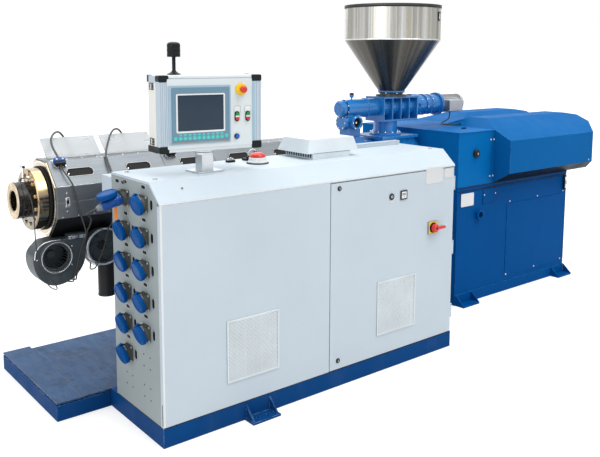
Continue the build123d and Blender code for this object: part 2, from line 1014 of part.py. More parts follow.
with BuildPart() as feeder_neck:
    rod_z(neck_flange_radius, (saddle_top_z + seat_gap, saddle_top_z + neck_flange_thickness), neck_x, 0)
    rod_z(neck_radius, (saddle_top_z + seat_gap, feeder_bottom_z - seat_gap), neck_x, 0)
save(feeder_neck, "feeder_neck")

# Feeder body: a round core between two plates, with ribs on both faces
with BuildPart() as feeder_body:
    span_x = (feeder_left_x, feeder_right_x)
    span_y = (-feeder_half_width, feeder_half_width)
    block(span_x, span_y, (feeder_bottom_z, feeder_bottom_z + feeder_plate))
    block(span_x, span_y, (feeder_top_z - feeder_plate, feeder_top_z))
    rod_x(feeder_core_radius, span_x, z=feeder_z)
    rib_pitch = (feeder_length - rib_thickness) / (rib_count - 1)
    for index in range(rib_count):
        rib_x = feeder_left_x + index * rib_pitch
        block((rib_x, rib_x + rib_thickness), span_y, (feeder_bottom_z, feeder_top_z))
save(feeder_body, "feeder_body")

with BuildPart() as feeder_tube:
    rod_x(tube_radius, (tube_left_x, feeder_left_x - seat_gap), z=feeder_z)
    rod_x(tube_ring_radius, (tube_ring_x, tube_ring_x + tube_ring_width), z=feeder_z)
    rod_x(collar_radius, (cap_left_x + cap_length, tube_left_x), z=feeder_z)
    rod_x(cap_radius, (cap_left_x, cap_left_x + cap_length), z=feeder_z)
    chamfer(feeder_tube.edges().group_by(Axis.X)[0], 12)
    rod_z(knob_stem_radius, (feeder_z + tube_radius - 4, feeder_z + tube_radius + knob_height), knob_x, 0)
    with Locations((knob_x, 0, feeder_z + tube_radius + knob_height)):
        Sphere(knob_radius)
save(feeder_tube, "feeder_tube")

with BuildPart() as feeder_gearbox:
    adapter_left_x = feeder_right_x + seat_gap
    rod_x(adapter_radius, (adapter_left_x, adapter_left_x + adapter_length), z=feeder_z)
    rod_x(gear_radius, (adapter_left_x, motor_left_x - seat_gap), z=feeder_z)
    for ring_x, ring_radius, ring_width in gear_rings:
        rod_x(ring_radius, (ring_x, min(ring_x + ring_width, motor_left_x - seat_gap)), z=feeder_z)
    rod_y(
        adapter_hole_radius,
        (-adapter_radius, -gear_radius),
        adapter_left_x + adapter_length / 2,
        feeder_z,
        mode=Mode.SUBTRACT,
    )
save(feeder_gearbox, "feeder_gearbox")

with BuildPart() as feeder_motor:
    rod_x(motor_radius, (motor_left_x, motor_right_x), z=feeder_z)
    chamfer(feeder_motor.edges().group_by(Axis.X)[-1], 14)
    block(
        (terminal_left_x, terminal_left_x + terminal_length),
        (-motor_radius - terminal_reach, -motor_radius / 2),
        (terminal_z - terminal_height / 2, terminal_z + terminal_height / 2),
    )
    motor_bottom_z = feeder_z - motor_radius
    rod_z(
        motor_gland_radius,
        (motor_bottom_z - motor_gland_length, feeder_z),
        motor_gland_x,
        0,
    )
save(feeder_motor, "feeder_motor")

# Hopper: an open cone and a drum, closed by a hinged lid
hopper_seat_z = feeder_top_z + seat_gap
hinge_centre_y = hopper_radius + lid_hinge_offset
hinge_centre_z = hopper_rim_z + lid_height / 2
hopper_plane = Plane(origin=(hopper_x, 0, 0), x_dir=(1, 0, 0), z_dir=(0, -1, 0))
with BuildPart() as hopper_shell:
    with BuildSketch(hopper_plane):
        with BuildLine():
            Polyline(
                (hopper_outlet_radius - hopper_wall, hopper_seat_z),
                (hopper_flange_radius, hopper_seat_z),
                (hopper_flange_radius, hopper_seat_z + hopper_flange_thickness),
                (hopper_outlet_radius, hopper_seat_z + hopper_flange_thickness),
                (hopper_outlet_radius, hopper_outlet_z),
                (hopper_radius, hopper_cone_top_z),
                (hopper_radius, hopper_rim_z),
                (hopper_radius - hopper_wall, hopper_rim_z),
                (hopper_radius - hopper_wall, hopper_cone_top_z),
                (hopper_outlet_radius - hopper_wall, hopper_outlet_z),
                close=True,
            )
        make_face()
    revolve(axis=Axis((hopper_x, 0, 0), (0, 0, 1)))
    for side in (-1, 1):
        ear_x = hopper_x + side * (lid_knuckle_length / 2 + 1 + lid_ear_length / 2)
        ear_span = (ear_x - lid_ear_length / 2, ear_x + lid_ear_length / 2)
        block(
            ear_span,
            (hopper_radius - hopper_wall, hinge_centre_y + lid_knuckle_radius),
            (hopper_rim_z - 40, hinge_centre_z),
        )
        rod_x(lid_knuckle_radius, ear_span, y=hinge_centre_y, z=hinge_centre_z)
    rod_x(
        lid_hinge_radius,
        (hopper_x - lid_knuckle_length / 2 - 2, hopper_x + lid_knuckle_length / 2 + 2),
        y=hinge_centre_y,
        z=hinge_centre_z,
    )
save(hopper_shell, "hopper_shell")

with BuildPart() as hopper_lid:
    rod_z(lid_radius, (hopper_rim_z + seat_gap, hopper_rim_z + lid_height), hopper_x, 0)
    block(
        (hopper_x - 60, hopper_x + 60),
        (lid_radius - 18, lid_radius + 2 * lid_knuckle_radius),
        (hopper_rim_z - 1, hopper_rim_z + lid_height + 1),
        mode=Mode.SUBTRACT,
    )
    block(
        (hopper_x - lid_knuckle_length / 2, hopper_x + lid_knuckle_length / 2),
        (lid_radius - 40, hinge_centre_y),
        (hinge_centre_z - 4, hinge_centre_z + 4),
    )
    rod_x(
        lid_knuckle_radius,
        (hopper_x - lid_knuckle_length / 2, hopper_x + lid_knuckle_length / 2),
        y=hinge_centre_y,
        z=hinge_centre_z,
    )
    rod_x(
        lid_hinge_radius + shaft_clearance,
        (hopper_x - lid_knuckle_length / 2, hopper_x + lid_knuckle_length / 2),
        y=hinge_centre_y,
        z=hinge_centre_z,
        mode=Mode.SUBTRACT,
    )
save(hopper_lid, "hopper_lid")

# Cabinet plinth, run back to the base frame, with its anchor lug
with BuildPart() as cabinet_plinth:
    block((0, cabinet_length), (cabinet_front_y, -base_half_width - seat_gap), (0, plinth_height))
    block(
        (lug_x - lug_width / 2, lug_x + lug_width / 2),
        (cabinet_front_y - lug_reach, cabinet_front_y),
        (0, lug_thickness),
    )
    for gusset_x in (lug_x - lug_width / 2 + lug_gusset, lug_x + lug_width / 2 - 2 * lug_gusset):
        prism_x(
            [
                (cabinet_front_y, lug_thickness),
                (cabinet_front_y, lug_gusset_height),
                (cabinet_front_y - lug_reach + lug_gusset, lug_thickness),
            ],
            (gusset_x, gusset_x + lug_gusset),
        )
    for hole_x in (lug_x - lug_hole_spacing / 2, lug_x + lug_hole_spacing / 2):
        rod_z(lug_hole_radius, (0, lug_thickness), hole_x, lug_hole_y, mode=Mode.SUBTRACT)
save(cabinet_plinth, "cabinet_plinth")

# Cabinet walls: end panel, right side, back, roof with its slope, and front panel
slope_rise = cabinet_top_z - cabinet_edge_z


def roof_height(y):
    """Underside of the roof sheet above a point at y."""
    along_slope = min(max((y - cabinet_front_y) / slope_run, 0), 1)
    return cabinet_edge_z + along_slope * slope_rise - sheet


def side_outline(front_y):
    """The outline of a cabinet side whose front edge stands at front_y."""
    knee_y = cabinet_front_y + slope_run
    return [
        (front_y, plinth_height),
        (cabinet_back_y, plinth_height),
        (cabinet_back_y, roof_height(cabinet_back_y)),
        (knee_y, roof_height(knee_y)),
        (front_y, roof_height(front_y)),
    ]


with BuildPart() as cabinet_end_panel:
    prism_x(side_outline(panel_back_y), (0, sheet))
save(cabinet_end_panel, "cabinet_end_panel")

with BuildPart() as cabinet_right_side:
    prism_x(side_outline(frame_front_y), (cabinet_length - sheet, cabinet_length))
    for height in hinge_heights:
        for ear_z in (height - hinge_height / 2 - hinge_ear, height + hinge_height / 2 + 1):
            ear_span = (ear_z, ear_z + hinge_ear - 1)
            block(
                (hinge_x - hinge_leaf, hinge_x + hinge_leaf),
                (hinge_y, frame_front_y + 4 * hinge_leaf),
                ear_span,
            )
            block(
                (cabinet_length, hinge_x + hinge_leaf),
                (frame_front_y, frame_front_y + 4 * hinge_leaf),
                ear_span,
            )
            rod_z(hinge_knuckle_radius, ear_span, hinge_x, hinge_y)
        rod_z(
            hinge_pin_radius,
            (height - hinge_height / 2 - hinge_ear, height + hinge_height / 2 + hinge_ear),
            hinge_x,
            hinge_y,
        )
save(cabinet_right_side, "cabinet_right_side")

with BuildPart() as cabinet_back:
    block(
        (sheet, cabinet_length - sheet),
        (cabinet_back_y - sheet, cabinet_back_y),
        (plinth_height, roof_height(cabinet_back_y)),
    )
save(cabinet_back, "cabinet_back")

with BuildPart() as cabinet_roof:
    prism_x(
        [
            (cabinet_front_y, cabinet_edge_z - sheet),
            (cabinet_front_y, cabinet_edge_z),
            (cabinet_front_y + slope_run, cabinet_top_z),
            (cabinet_back_y, cabinet_top_z),
            (cabinet_back_y, cabinet_top_z - sheet),
            (cabinet_front_y + slope_run, cabinet_top_z - sheet),
        ],
        (0, cabinet_length),
    )
    block(
        (sheet + seat_gap, cabinet_length - sheet - seat_gap),
        (frame_front_y, frame_front_y + sheet),
        (cabinet_edge_z - gutter_height, roof_height(frame_front_y) + sheet / 2),
    )
save(cabinet_roof, "cabinet_roof")

with BuildPart() as cabinet_front_panel:
    block(
        (0, door_left_x - door_split),
        (cabinet_front_y, panel_back_y),
        (plinth_height, cabinet_edge_z - sheet),
    )
    block(
        (door_left_x - door_split - mullion_width, door_left_x - door_split),
        (panel_back_y, frame_front_y + mullion_depth),
        (plinth_height, cabinet_edge_z - gutter_height - seat_gap),
    )
    block(
        (door_left_x - door_split, door_left_x + mullion_width),
        (frame_front_y, frame_front_y + mullion_depth),
        (plinth_height, cabinet_edge_z - gutter_height - seat_gap),
    )
save(cabinet_front_panel, "cabinet_front_panel")

# Door, hinged on pins along its right edge
with BuildPart() as cabinet_door:
    block(
        (door_left_x, door_right_x),
        (cabinet_front_y, panel_back_y),
        (door_bottom_z, door_top_z),
    )
    for height in hinge_heights:
        knuckle_span = (height - hinge_height / 2, height + hinge_height / 2)
        block(
            (door_right_x - 2 * hinge_leaf, hinge_x),
            (cabinet_front_y, cabinet_front_y + hinge_leaf),
            knuckle_span,
        )
        rod_z(hinge_knuckle_radius, knuckle_span, hinge_x, hinge_y)
        rod_z(
            hinge_pin_radius + shaft_clearance,
            knuckle_span,
            hinge_x,
            hinge_y,
            mode=Mode.SUBTRACT,
        )
save(cabinet_door, "cabinet_door")


def grille(centre_x):
    """A square vent grille, seated on the panel's face."""
    half = grille_size / 2
    block(
        (centre_x - half, centre_x + half),
        (cabinet_front_y - seat_gap - grille_thickness, cabinet_front_y - seat_gap),
        (grille_z - half, grille_z + half),
    )


with BuildPart() as left_vent_grille:
    grille(left_grille_x)
save(left_vent_grille, "left_vent_grille")

# Vent grille, round locks, key switch, hour meter and the switch plate on the door
face_y = cabinet_front_y - seat_gap
with BuildPart() as door_fittings:
    grille(right_grille_x)
    for height in door_lock_heights:
        rod_y(door_lock_radius, (face_y - door_lock_reach, face_y), door_left_x + door_lock_inset, height)
    rod_y(instrument_size / 3, (face_y - instrument_reach, face_y), key_switch_x, instrument_z)
    block(
        (meter_x - instrument_size / 2, meter_x + instrument_size / 2),
        (face_y - instrument_reach, face_y),
        (instrument_z - instrument_size / 2, instrument_z + instrument_size / 2),
    )
    block(
        (switch_x - switch_plate / 2, switch_x + switch_plate / 2),
        (face_y - switch_plate_thickness, face_y),
        (switch_z - switch_plate / 2, switch_z + switch_plate / 2),
    )
    rod_y(
        switch_stem_radius + shaft_clearance,
        (face_y - switch_plate_thickness, face_y),
        switch_x,
        switch_z,
        mode=Mode.SUBTRACT,
    )
save(door_fittings, "door_fittings")

plate_face_y = face_y - switch_plate_thickness
hub_back_y = plate_face_y - switch_stand_off
hub_front_y = hub_back_y - switch_hub_reach
with BuildPart() as main_switch_handle:
    rod_y(switch_stem_radius, (hub_back_y, face_y - 1), switch_x, switch_z)
    rod_y(switch_hub_radius, (hub_front_y, hub_back_y), switch_x, switch_z)
    block(
        (switch_x, switch_x + switch_lever_length),
        (hub_front_y, hub_front_y + switch_lever_thickness),
        (switch_z - switch_lever_width / 2, switch_z + switch_lever_width / 2),
    )
    fillet(main_switch_handle.edges().filter_by(Axis.Y).group_by(Axis.X)[-1], 8)
save(main_switch_handle, "main_switch_handle")

# Sockets: a square flange, and a body and a hinged lid that tilt down
socket_places = [(near_socket_y, row) for row in near_rows]
socket_places += [(far_socket_y, row) for row in far_rows]
flange_span = (-socket_flange_thickness - seat_gap, -seat_gap)
body_left_x = flange_span[0] - socket_body_reach
tilt = radians(plug_tilt)


def socket_face(y, z, reach=0):
    """The tilted face of a socket, looking out and down, or a plane in front of it."""
    face = Plane(origin=(body_left_x, y, z), x_dir=(0, 1, 0), z_dir=(-cos(tilt), 0, -sin(tilt)))
    return face.offset(reach)


def socket_base(y, z):
    """A square flange with a round body and a hinge lug, cut along the tilted face."""
    half = socket_flange / 2
    body_span = (body_left_x - socket_body_radius, flange_span[0])
    block(flange_span, (y - half, y + half), (z - half, z + half))
    rod_x(socket_body_radius, body_span, y=y, z=z)
    block(body_span, (y - hinge_lug_width / 2, y + hinge_lug_width / 2), (z, z + hinge_lug_top))
    with BuildSketch(socket_face(y, z)) as trim:
        Rectangle(4 * socket_body_radius, 4 * socket_body_radius)
    extrude(trim.sketch, amount=2 * socket_body_radius, mode=Mode.SUBTRACT)


with BuildPart() as socket_bases:
    for y, row in socket_places:
        socket_base(y, socket_top_z - row * socket_pitch)
    socket_base(far_socket_y, socket_top_z)
save(socket_bases, "socket_bases")

with BuildPart() as socket_lids:
    for y, row in socket_places:
        tab_length = socket_lid_radius + socket_tab_reach
        with BuildSketch(socket_face(y, socket_top_z - row * socket_pitch, seat_gap)):
            Circle(socket_lid_radius)
            with Locations((0, -tab_length / 2)):
                Rectangle(socket_tab_width, tab_length)
        extrude(amount=socket_lid_thickness)
    rise = plug_radius + open_lid_rise
    open_lid_plane = Plane(
        origin=(
            body_left_x - rise * sin(tilt),
            far_socket_y,
            socket_top_z + rise * cos(tilt),
        ),
        x_dir=(0, 1, 0),
        z_dir=(-sin(tilt), 0, cos(tilt)),
    )
    with BuildSketch(open_lid_plane):
        with Locations((0, socket_lid_radius + socket_tab_reach)):
            Circle(socket_lid_radius)
        with Locations((0, seat_gap + socket_lid_radius / 4)):
            Rectangle(socket_tab_width, socket_lid_radius / 2)
    extrude(amount=socket_lid_thickness)
save(socket_lids, "socket_lids")

# The plug in the top far socket
with BuildPart() as power_plug:
    with BuildSketch(socket_face(far_socket_y, socket_top_z, seat_gap)):
        Circle(plug_radius)
    extrude(amount=plug_length, taper=3)
    with BuildSketch(socket_face(far_socket_y, socket_top_z, seat_gap + plug_length)):
        Circle(plug_gland_radius)
    extrude(amount=plug_gland_length)
save(power_plug, "power_plug")

# Wiring trunk along the cabinet's back
with BuildPart() as wiring_trunk:
    block(
        (0, trunk_right_x),
        (cabinet_back_y + trunk_gap, cabinet_back_y + trunk_gap + trunk_depth),
        (trunk_bottom_z, trunk_top_z),
    )
save(wiring_trunk, "wiring_trunk")

# Roof fan: a base frame and a tapered rain hood
with BuildPart() as roof_fan:
    block(fan_base_x, fan_base_y, (cabinet_top_z + seat_gap, fan_hood_bottom_z))
    with BuildSketch(Plane.XY.offset(fan_hood_bottom_z)):
        with BuildLine():
            Polyline(
                (fan_hood_x[0], fan_hood_y[0]),
                (fan_hood_x[1], fan_hood_y[0]),
                (fan_hood_x[1], fan_hood_y[1]),
                (fan_hood_x[0], fan_hood_y[1]),
                close=True,
            )
        make_face()
    with BuildSketch(Plane.XY.offset(fan_hood_top_z)):
        with BuildLine():
            Polyline(
                (fan_top_x[0], fan_top_y[0]),
                (fan_top_x[1], fan_top_y[0]),
                (fan_top_x[1], fan_top_y[1]),
                (fan_top_x[0], fan_top_y[1]),
                close=True,
            )
        make_face()
    loft()
save(roof_fan, "roof_fan")

with BuildPart() as signal_lamp:
    lamp_bottom_z = cabinet_top_z + seat_gap
    body_bottom_z = lamp_bottom_z + lamp_gasket
    body_top_z = body_bottom_z + lamp_body_height
    rod_z(lamp_gasket_radius, (lamp_bottom_z, body_bottom_z), lamp_x, lamp_y)
    rod_z(lamp_body_radius, (body_bottom_z, body_top_z), lamp_x, lamp_y)
    rod_z(lamp_dome_radius, (body_top_z, body_top_z + lamp_dome_height), lamp_x, lamp_y)
    fillet(signal_lamp.edges().group_by(Axis.Z)[-1], 12)
save(signal_lamp, "signal_lamp")

# Operator panel post, fixed to the roof
with BuildPart() as panel_post:
    block(
        (post_x - post_flange_x / 2, post_x + post_flange_x / 2),
        (post_y - post_flange_y / 2, post_y + post_flange_y / 2),
        (cabinet_top_z + seat_gap, cabinet_top_z + post_flange_thickness),
    )
    block(
        (post_x - post_width / 2, post_x + post_width / 2),
        (post_y - post_width / 2, post_y + post_width / 2),
        (cabinet_top_z + seat_gap, post_top_z - post_cap_radius / 4),
    )
    rod_z(post_cap_radius, (post_top_z - post_cap_radius / 4, post_top_z), post_x, post_y)
    rod_z(post_pivot_radius, (post_top_z, post_top_z + post_pivot_height), post_x, post_y)
save(panel_post, "panel_post")

# Operator panel, drawn on a plane that is turned about the post
panel_plane = Plane(
    origin=(post_x, post_y, 0),
    x_dir=(cos(radians(panel_turn)), sin(radians(panel_turn)), 0),
    z_dir=(0, 0, 1),
)
panel_top_z = panel_bottom_z + panel_height
panel_centre_y = panel_depth / 2 - panel_front
with BuildPart(panel_plane) as panel_housing:
    with BuildSketch(panel_plane.offset(panel_bottom_z)):
        with Locations((0, panel_centre_y)):
            RectangleRounded(panel_width, panel_depth, panel_corner)
    extrude(amount=panel_height)
    with BuildSketch(panel_plane.offset(post_top_z + 1)):
        Circle(post_cap_radius)
    extrude(amount=panel_bottom_z - post_top_z - 1)
    with BuildSketch(panel_plane.offset(post_top_z + 1)):
        Circle(post_pivot_radius + shaft_clearance)
    extrude(amount=post_pivot_height + 1, mode=Mode.SUBTRACT)
    front_plate_z = panel_bottom_z + panel_height / 2
    with Locations((front_plate_x, -panel_front - front_plate_reach / 2, front_plate_z)):
        Box(front_plate_width, front_plate_reach, panel_height - 2 * front_plate_margin)
save(panel_housing, "panel_housing")

plate_y = -panel_front - front_plate_reach - seat_gap
with BuildPart(panel_plane) as screen_unit:
    bezel_centre_z = panel_top_z - bezel_top_margin - bezel_height / 2
    with Locations((bezel_centre_x, plate_y - bezel_reach / 2, bezel_centre_z)):
        Box(bezel_width, bezel_reach, bezel_height)
save(screen_unit, "screen_unit")

with BuildPart(panel_plane) as push_buttons:
    for centre_x in double_button_x:
        with Locations((centre_x, plate_y - button_reach / 2, double_button_z)):
            Box(double_button_width, button_reach, double_button_height)
    with Locations((reset_button_x, plate_y - button_reach / 2, reset_button_z)):
        Cylinder(reset_button_radius, button_reach, rotation=(90, 0, 0))
    with Locations((stop_x, plate_y - stop_collar_reach / 2, stop_z)):
        Cylinder(stop_collar_radius, stop_collar_reach, rotation=(90, 0, 0))
        Cylinder(
            stop_stem_radius + shaft_clearance,
            stop_collar_reach,
            rotation=(90, 0, 0),
            mode=Mode.SUBTRACT,
        )
save(push_buttons, "push_buttons")

collar_face_y = plate_y - stop_collar_reach
stem_back_y = collar_face_y + stop_stem_grip
with BuildPart(panel_plane) as emergency_stop:
    stem_length = stop_stroke_gap + stop_stem_grip
    with Locations((stop_x, stem_back_y - stem_length / 2, stop_z)):
        Cylinder(stop_stem_radius, stem_length, rotation=(90, 0, 0))
    with Locations((stop_x, collar_face_y - stop_stroke_gap - stop_head_thickness / 2, stop_z)):
        Cylinder(stop_head_radius, stop_head_thickness, rotation=(90, 0, 0))
    fillet(emergency_stop.edges().group_by(Axis.Y)[0], 5)
save(emergency_stop, "emergency_stop")

with BuildPart(panel_plane) as beacon:
    beacon_foot_z = panel_top_z + seat_gap
    with Locations((beacon_x, beacon_y, beacon_foot_z)):
        Cylinder(
            beacon_base_radius,
            beacon_base_height,
            align=(Align.CENTER, Align.CENTER, Align.MIN),
        )
        Cylinder(
            beacon_stem_radius,
            beacon_bottom + beacon_height / 2,
            align=(Align.CENTER, Align.CENTER, Align.MIN),
        )
    with Locations((beacon_x, beacon_y, beacon_foot_z + beacon_bottom)):
        Cylinder(
            beacon_radius,
            beacon_height,
            align=(Align.CENTER, Align.CENTER, Align.MIN),
        )
save(beacon, "beacon")


def fillet_radii(points):
    """The largest even arcs that each corner's two runs allow."""
    corners = [Vector(*point) for point in points]
    radii = []
    for before, corner, after in zip(corners, corners[1:], corners[2:]):
        turn = (corner - before).get_angle(after - corner)
        shorter = min((corner - before).length, (after - corner).length)
        radii.append(arc_share * shorter / tan(radians(turn / 2)))
    return radii


def lead(name, points, diameter):
    """A flexible lead: a round tube along straight runs and tangent arcs."""
    radii = fillet_radii(points)
    with BuildPart() as tube:
        with BuildLine() as route:
            FilletPolyline(*points, radius=radii)
        with BuildSketch(Plane(origin=route.line @ 0, z_dir=route.line % 0)) as section:
            Circle(diameter / 2)
        sweep(section.sketch, path=route.line)
    run_length = route.wire().length
    expected = run_length * pi * diameter**2 / 4
    print(
        name,
        "length", round(run_length),
        "smallest radius", round(min(radii)),
        "volume share", round(tube.part.volume / expected, 4),
    )
    save(tube, name)


# Free leads and conduits, each from the point where it leaves the machine
lead(
    "plug_lead",
    [
        (-155.1, -665, 1141.2),
        (-174.2, -665, 1135.4),
        (-187, -654, 1127.5),
        (-189, -632, 1117.5),
        (-176, -600, 1104),
        (-148, -556, 1086),
        (-116, -504, 1064),
        (-84, -434, 1033),
        (-56, -345, 987),
        (-38, -266, 940),
        (-36, -222, 884),
        (-46, -202, 836),
        (-57, -187, 784),
        (-63, -180, 738),
        (-75, -178, 702),
        (-84, -176, 672),
        (-82, -162, 646),
        (-74, -126, 632),
        (-87, -78, 626),
        (-112, -38, 624),
        (-142, -6, 632),
        (-161, 13, 654),
        (-169, 18, 684),
        (-169, 18, terminal_box_bottom - seat_gap),
    ],
    lead_diameter,
)
lead(
    "heater_lead",
    [
        (-118, -128.3, 1291.7),
        (-118, -142.4, 1277.6),
        (-114, -168, 1256),
        (-104, -204, 1228),
        (-90, -227, 1186),
        (-77, -226, 1130),
        (-65, -225, 1072),
        (-52, -227, 1012),
        (-34, -233, 952),
        (-24, -222, 892),
        (-34, -198, 842),
        (-45, -184, 792),
        (-50, -180, 742),
        (-62, -178, 704),
        (-70, -174, 674),
        (-64, -158, 652),
        (-60, -122, 642),
        (-76, -74, 635),
        (-98, -34, 636),
        (-124, -2, 644),
        (-143, 14, 664),
        (-151, 18, 690),
        (-151, 18, terminal_box_bottom - seat_gap),
    ],
    lead_diameter,
)
lead(
    "die_lead",
    [
        (flange_left_x - sensor_reach - seat_gap, sensor_y, sensor_z),
        (-301.5, sensor_y, sensor_z),
        (-321, -62, 1224),
        (-325, -84, 1215),
        (-318, -112, 1199),
        (-309, -146, 1172),
        (-300, -174, 1132),
        (-296, -186, 1080),
        (-294, -189, 1022),
        (-292, -188, 962),
        (-291, -187, 904),
        (-286, -185, 846),
        (-268, -183, 790),
        (-246, -181, 736),
        (-218, -180, 688),
        (-190, -178, 650),
        (-174, -164, 622),
        (-170, -136, 608),
        (-172, -98, 602),
        (-176, -56, 604),
        (-180, -16, 620),
        (-185, 8, 650),
        (-187, 18, 684),
        (-187, 18, terminal_box_bottom - seat_gap),
    ],
    thin_lead_diameter,
)
lead(
    "zone_lead",
    [
        (44, -440, trunk_bottom_z - seat_gap),
        (44, -440, 1090),
        (47, -424, 1048),
        (56, -388, 1010),
        (68, -342, 978),
        (82, -288, 952),
        (96, -236, 932),
        (106, -204, 900),
        (100, -196, 852),
        (84, -192, 804),
        (64, -191, 758),
        (44, -188, 718),
        (46, -156, 694),
        (54, -110, 678),
        (62, -62, 664),
        (74, -22, 658),
        (86, 2, 664),
        (94, 15, 680),
        (96, 18, 698),
        (96, 18, terminal_box_bottom - seat_gap),
    ],
    lead_diameter,
)
lead(
    "front_conduit",
    [
        (-118, -96.7, 1323.3),
        (-118, -82.6, 1337.4),
        (-122, -60, 1358),
        (-124, -28, 1384),
        (-116, 10, 1410),
        (-94, 52, 1432),
        (-60, 96, 1446),
        (-22, 138, 1446),
        (14, 176, 1422),
        (48, 202, 1376),
        (68, 206, 1322),
        (76, 190, 1272),
        (76, 157.7, 1239.7),
    ],
    conduit_diameter,
)
lead(
    "second_conduit",
    [
        (440, 157.7, 1239.7),
        (440, 190, 1272),
        (434, 206, 1322),
        (414, 200, 1372),
        (382, 172, 1414),
        (344, 132, 1440),
        (302, 96, 1446),
        (262, 54, 1430),
        (228, 10, 1402),
        (197, -32, 1370),
        (170, -70, 1336),
        (153, -112, 1310),
        (147, -154, 1272),
        (146, -196, 1232),
        (148, -240, 1196),
        (150, -288, 1182),
        (150, -338, 1184),
        (150, cabinet_back_y + trunk_gap + trunk_depth + seat_gap, 1184),
    ],
    conduit_diameter,
)
lead(
    "motor_lead",
    [
        (motor_gland_x, 0, motor_bottom_z - motor_gland_length - seat_gap),
        (motor_gland_x, 0, 1396),
        (3229, -4, 1378),
        (3207, -11, 1364),
        (3176, -20, 1356),
        (3134, -34, 1351),
        (3090, -50, 1345),
        (3057, -64, 1341),
        (3040, -96, 1338),
        (3047, -131, 1337),
        (3075, -154, 1337),
        (3111, -158, 1339),
        (3146, hood_gland_y, hood_gland_z),
        (hood_gland_left_x - seat_gap, hood_gland_y, hood_gland_z),
    ],
    motor_lead_diameter,
)
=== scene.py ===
import json
from math import cos, pi, radians, sin, tan

import bmesh
import bpy
from mathutils import Matrix, Vector


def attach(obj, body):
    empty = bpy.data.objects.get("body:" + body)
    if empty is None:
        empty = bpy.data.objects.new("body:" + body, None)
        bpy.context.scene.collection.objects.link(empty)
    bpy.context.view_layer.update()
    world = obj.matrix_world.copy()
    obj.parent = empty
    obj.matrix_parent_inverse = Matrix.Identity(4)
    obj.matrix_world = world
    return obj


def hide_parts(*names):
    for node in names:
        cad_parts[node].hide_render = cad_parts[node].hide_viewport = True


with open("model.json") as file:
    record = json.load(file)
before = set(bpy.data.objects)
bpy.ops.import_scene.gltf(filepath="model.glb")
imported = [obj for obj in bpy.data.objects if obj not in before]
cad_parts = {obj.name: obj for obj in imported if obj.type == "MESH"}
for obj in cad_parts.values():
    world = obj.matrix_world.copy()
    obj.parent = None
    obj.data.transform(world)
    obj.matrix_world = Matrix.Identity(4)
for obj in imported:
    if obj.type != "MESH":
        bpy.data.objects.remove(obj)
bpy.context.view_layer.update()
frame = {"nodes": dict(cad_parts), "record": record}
MM = 0.001
SIDES = (-1, 1)
CORNERS = [(a, b) for a in SIDES for b in SIDES]
OUT, BACK, LEFT, RIGHT, UP, DOWN = (0, -1, 0), (0, 1, 0), (-1, 0, 0), (1, 0, 0), (0, 0, 1), (0, 0, -1)
STILL = Matrix.Identity(4)

# Camera: one photograph was fitted, 600 x 457 pixels
PHOTO_WIDTH, PHOTO_HEIGHT = 600, 457
CAMERA_PLACE = (-1636.9, -4078.9, 1890.8)
CAMERA_YAW, CAMERA_PITCH, CAMERA_ROLL = 38.84, 7.25, 0.21
FOCAL_PIXELS, CENTRE_ROW = 752.9, 150.0
SENSOR_WIDTH = 36


def add_object(name, data):
    made = bpy.data.objects.new(name, data)
    bpy.context.scene.collection.objects.link(made)
    return made


def make_camera():
    yaw, pitch, roll = (radians(a) for a in (CAMERA_YAW, CAMERA_PITCH, CAMERA_ROLL))
    ahead = Vector((sin(yaw) * cos(pitch), cos(yaw) * cos(pitch), -sin(pitch)))
    level = Vector((cos(yaw), -sin(yaw), 0))
    raised = level.cross(ahead)
    right = level * cos(roll) + raised * sin(roll)
    up = raised * cos(roll) - level * sin(roll)
    data = bpy.data.cameras.new("camera")
    data.sensor_width = SENSOR_WIDTH
    data.lens = FOCAL_PIXELS * SENSOR_WIDTH / PHOTO_WIDTH
    data.shift_y = (CENTRE_ROW - PHOTO_HEIGHT / 2) / PHOTO_WIDTH
    data.clip_end = 100
    camera = add_object("camera", data)
    rows = Matrix((right, up, -ahead)).transposed().to_4x4()
    camera.matrix_world = Matrix.Translation(Vector(CAMERA_PLACE) * MM) @ rows
    bpy.context.scene.camera = camera


make_camera()


# Materials
class Nodes:
    """A node tree with short ways to add nodes."""

    def __init__(self, tree):
        self.tree = tree

    def feed(self, socket, value):
        """Gives a socket a number, a colour, a vector or another node's output."""
        if isinstance(value, bpy.types.NodeSocket):
            self.tree.links.new(value, socket)
        elif value is not None:
            socket.default_value = (*value, 1) if socket.type == "RGBA" else value

    def node(self, kind, inputs=(), **settings):
        made = self.tree.nodes.new("ShaderNode" + kind)
        for key, value in settings.items():
            setattr(made, key, value)
        for socket, value in dict(inputs).items():
            self.feed(made.inputs[socket], value)
        return made

    def shade(self, kind, *inputs):
        """The first output of a node with these inputs in order."""
        return self.node(kind, enumerate(inputs)).outputs[0]

    def math(self, kind, a, b=None):
        return self.node("Math", {0: a, 1: b}, operation=kind).outputs[0]

    def ramp(self, value, low=0.3, high=0.7, start=0.0, end=1.0):
        return self.node("MapRange", {"From Min": low, "From Max": high, "To Min": start, "To Max": end,
                                      "Value": value}).outputs["Result"]

    def split(self, vector):
        return self.node("SeparateXYZ", {0: vector}).outputs


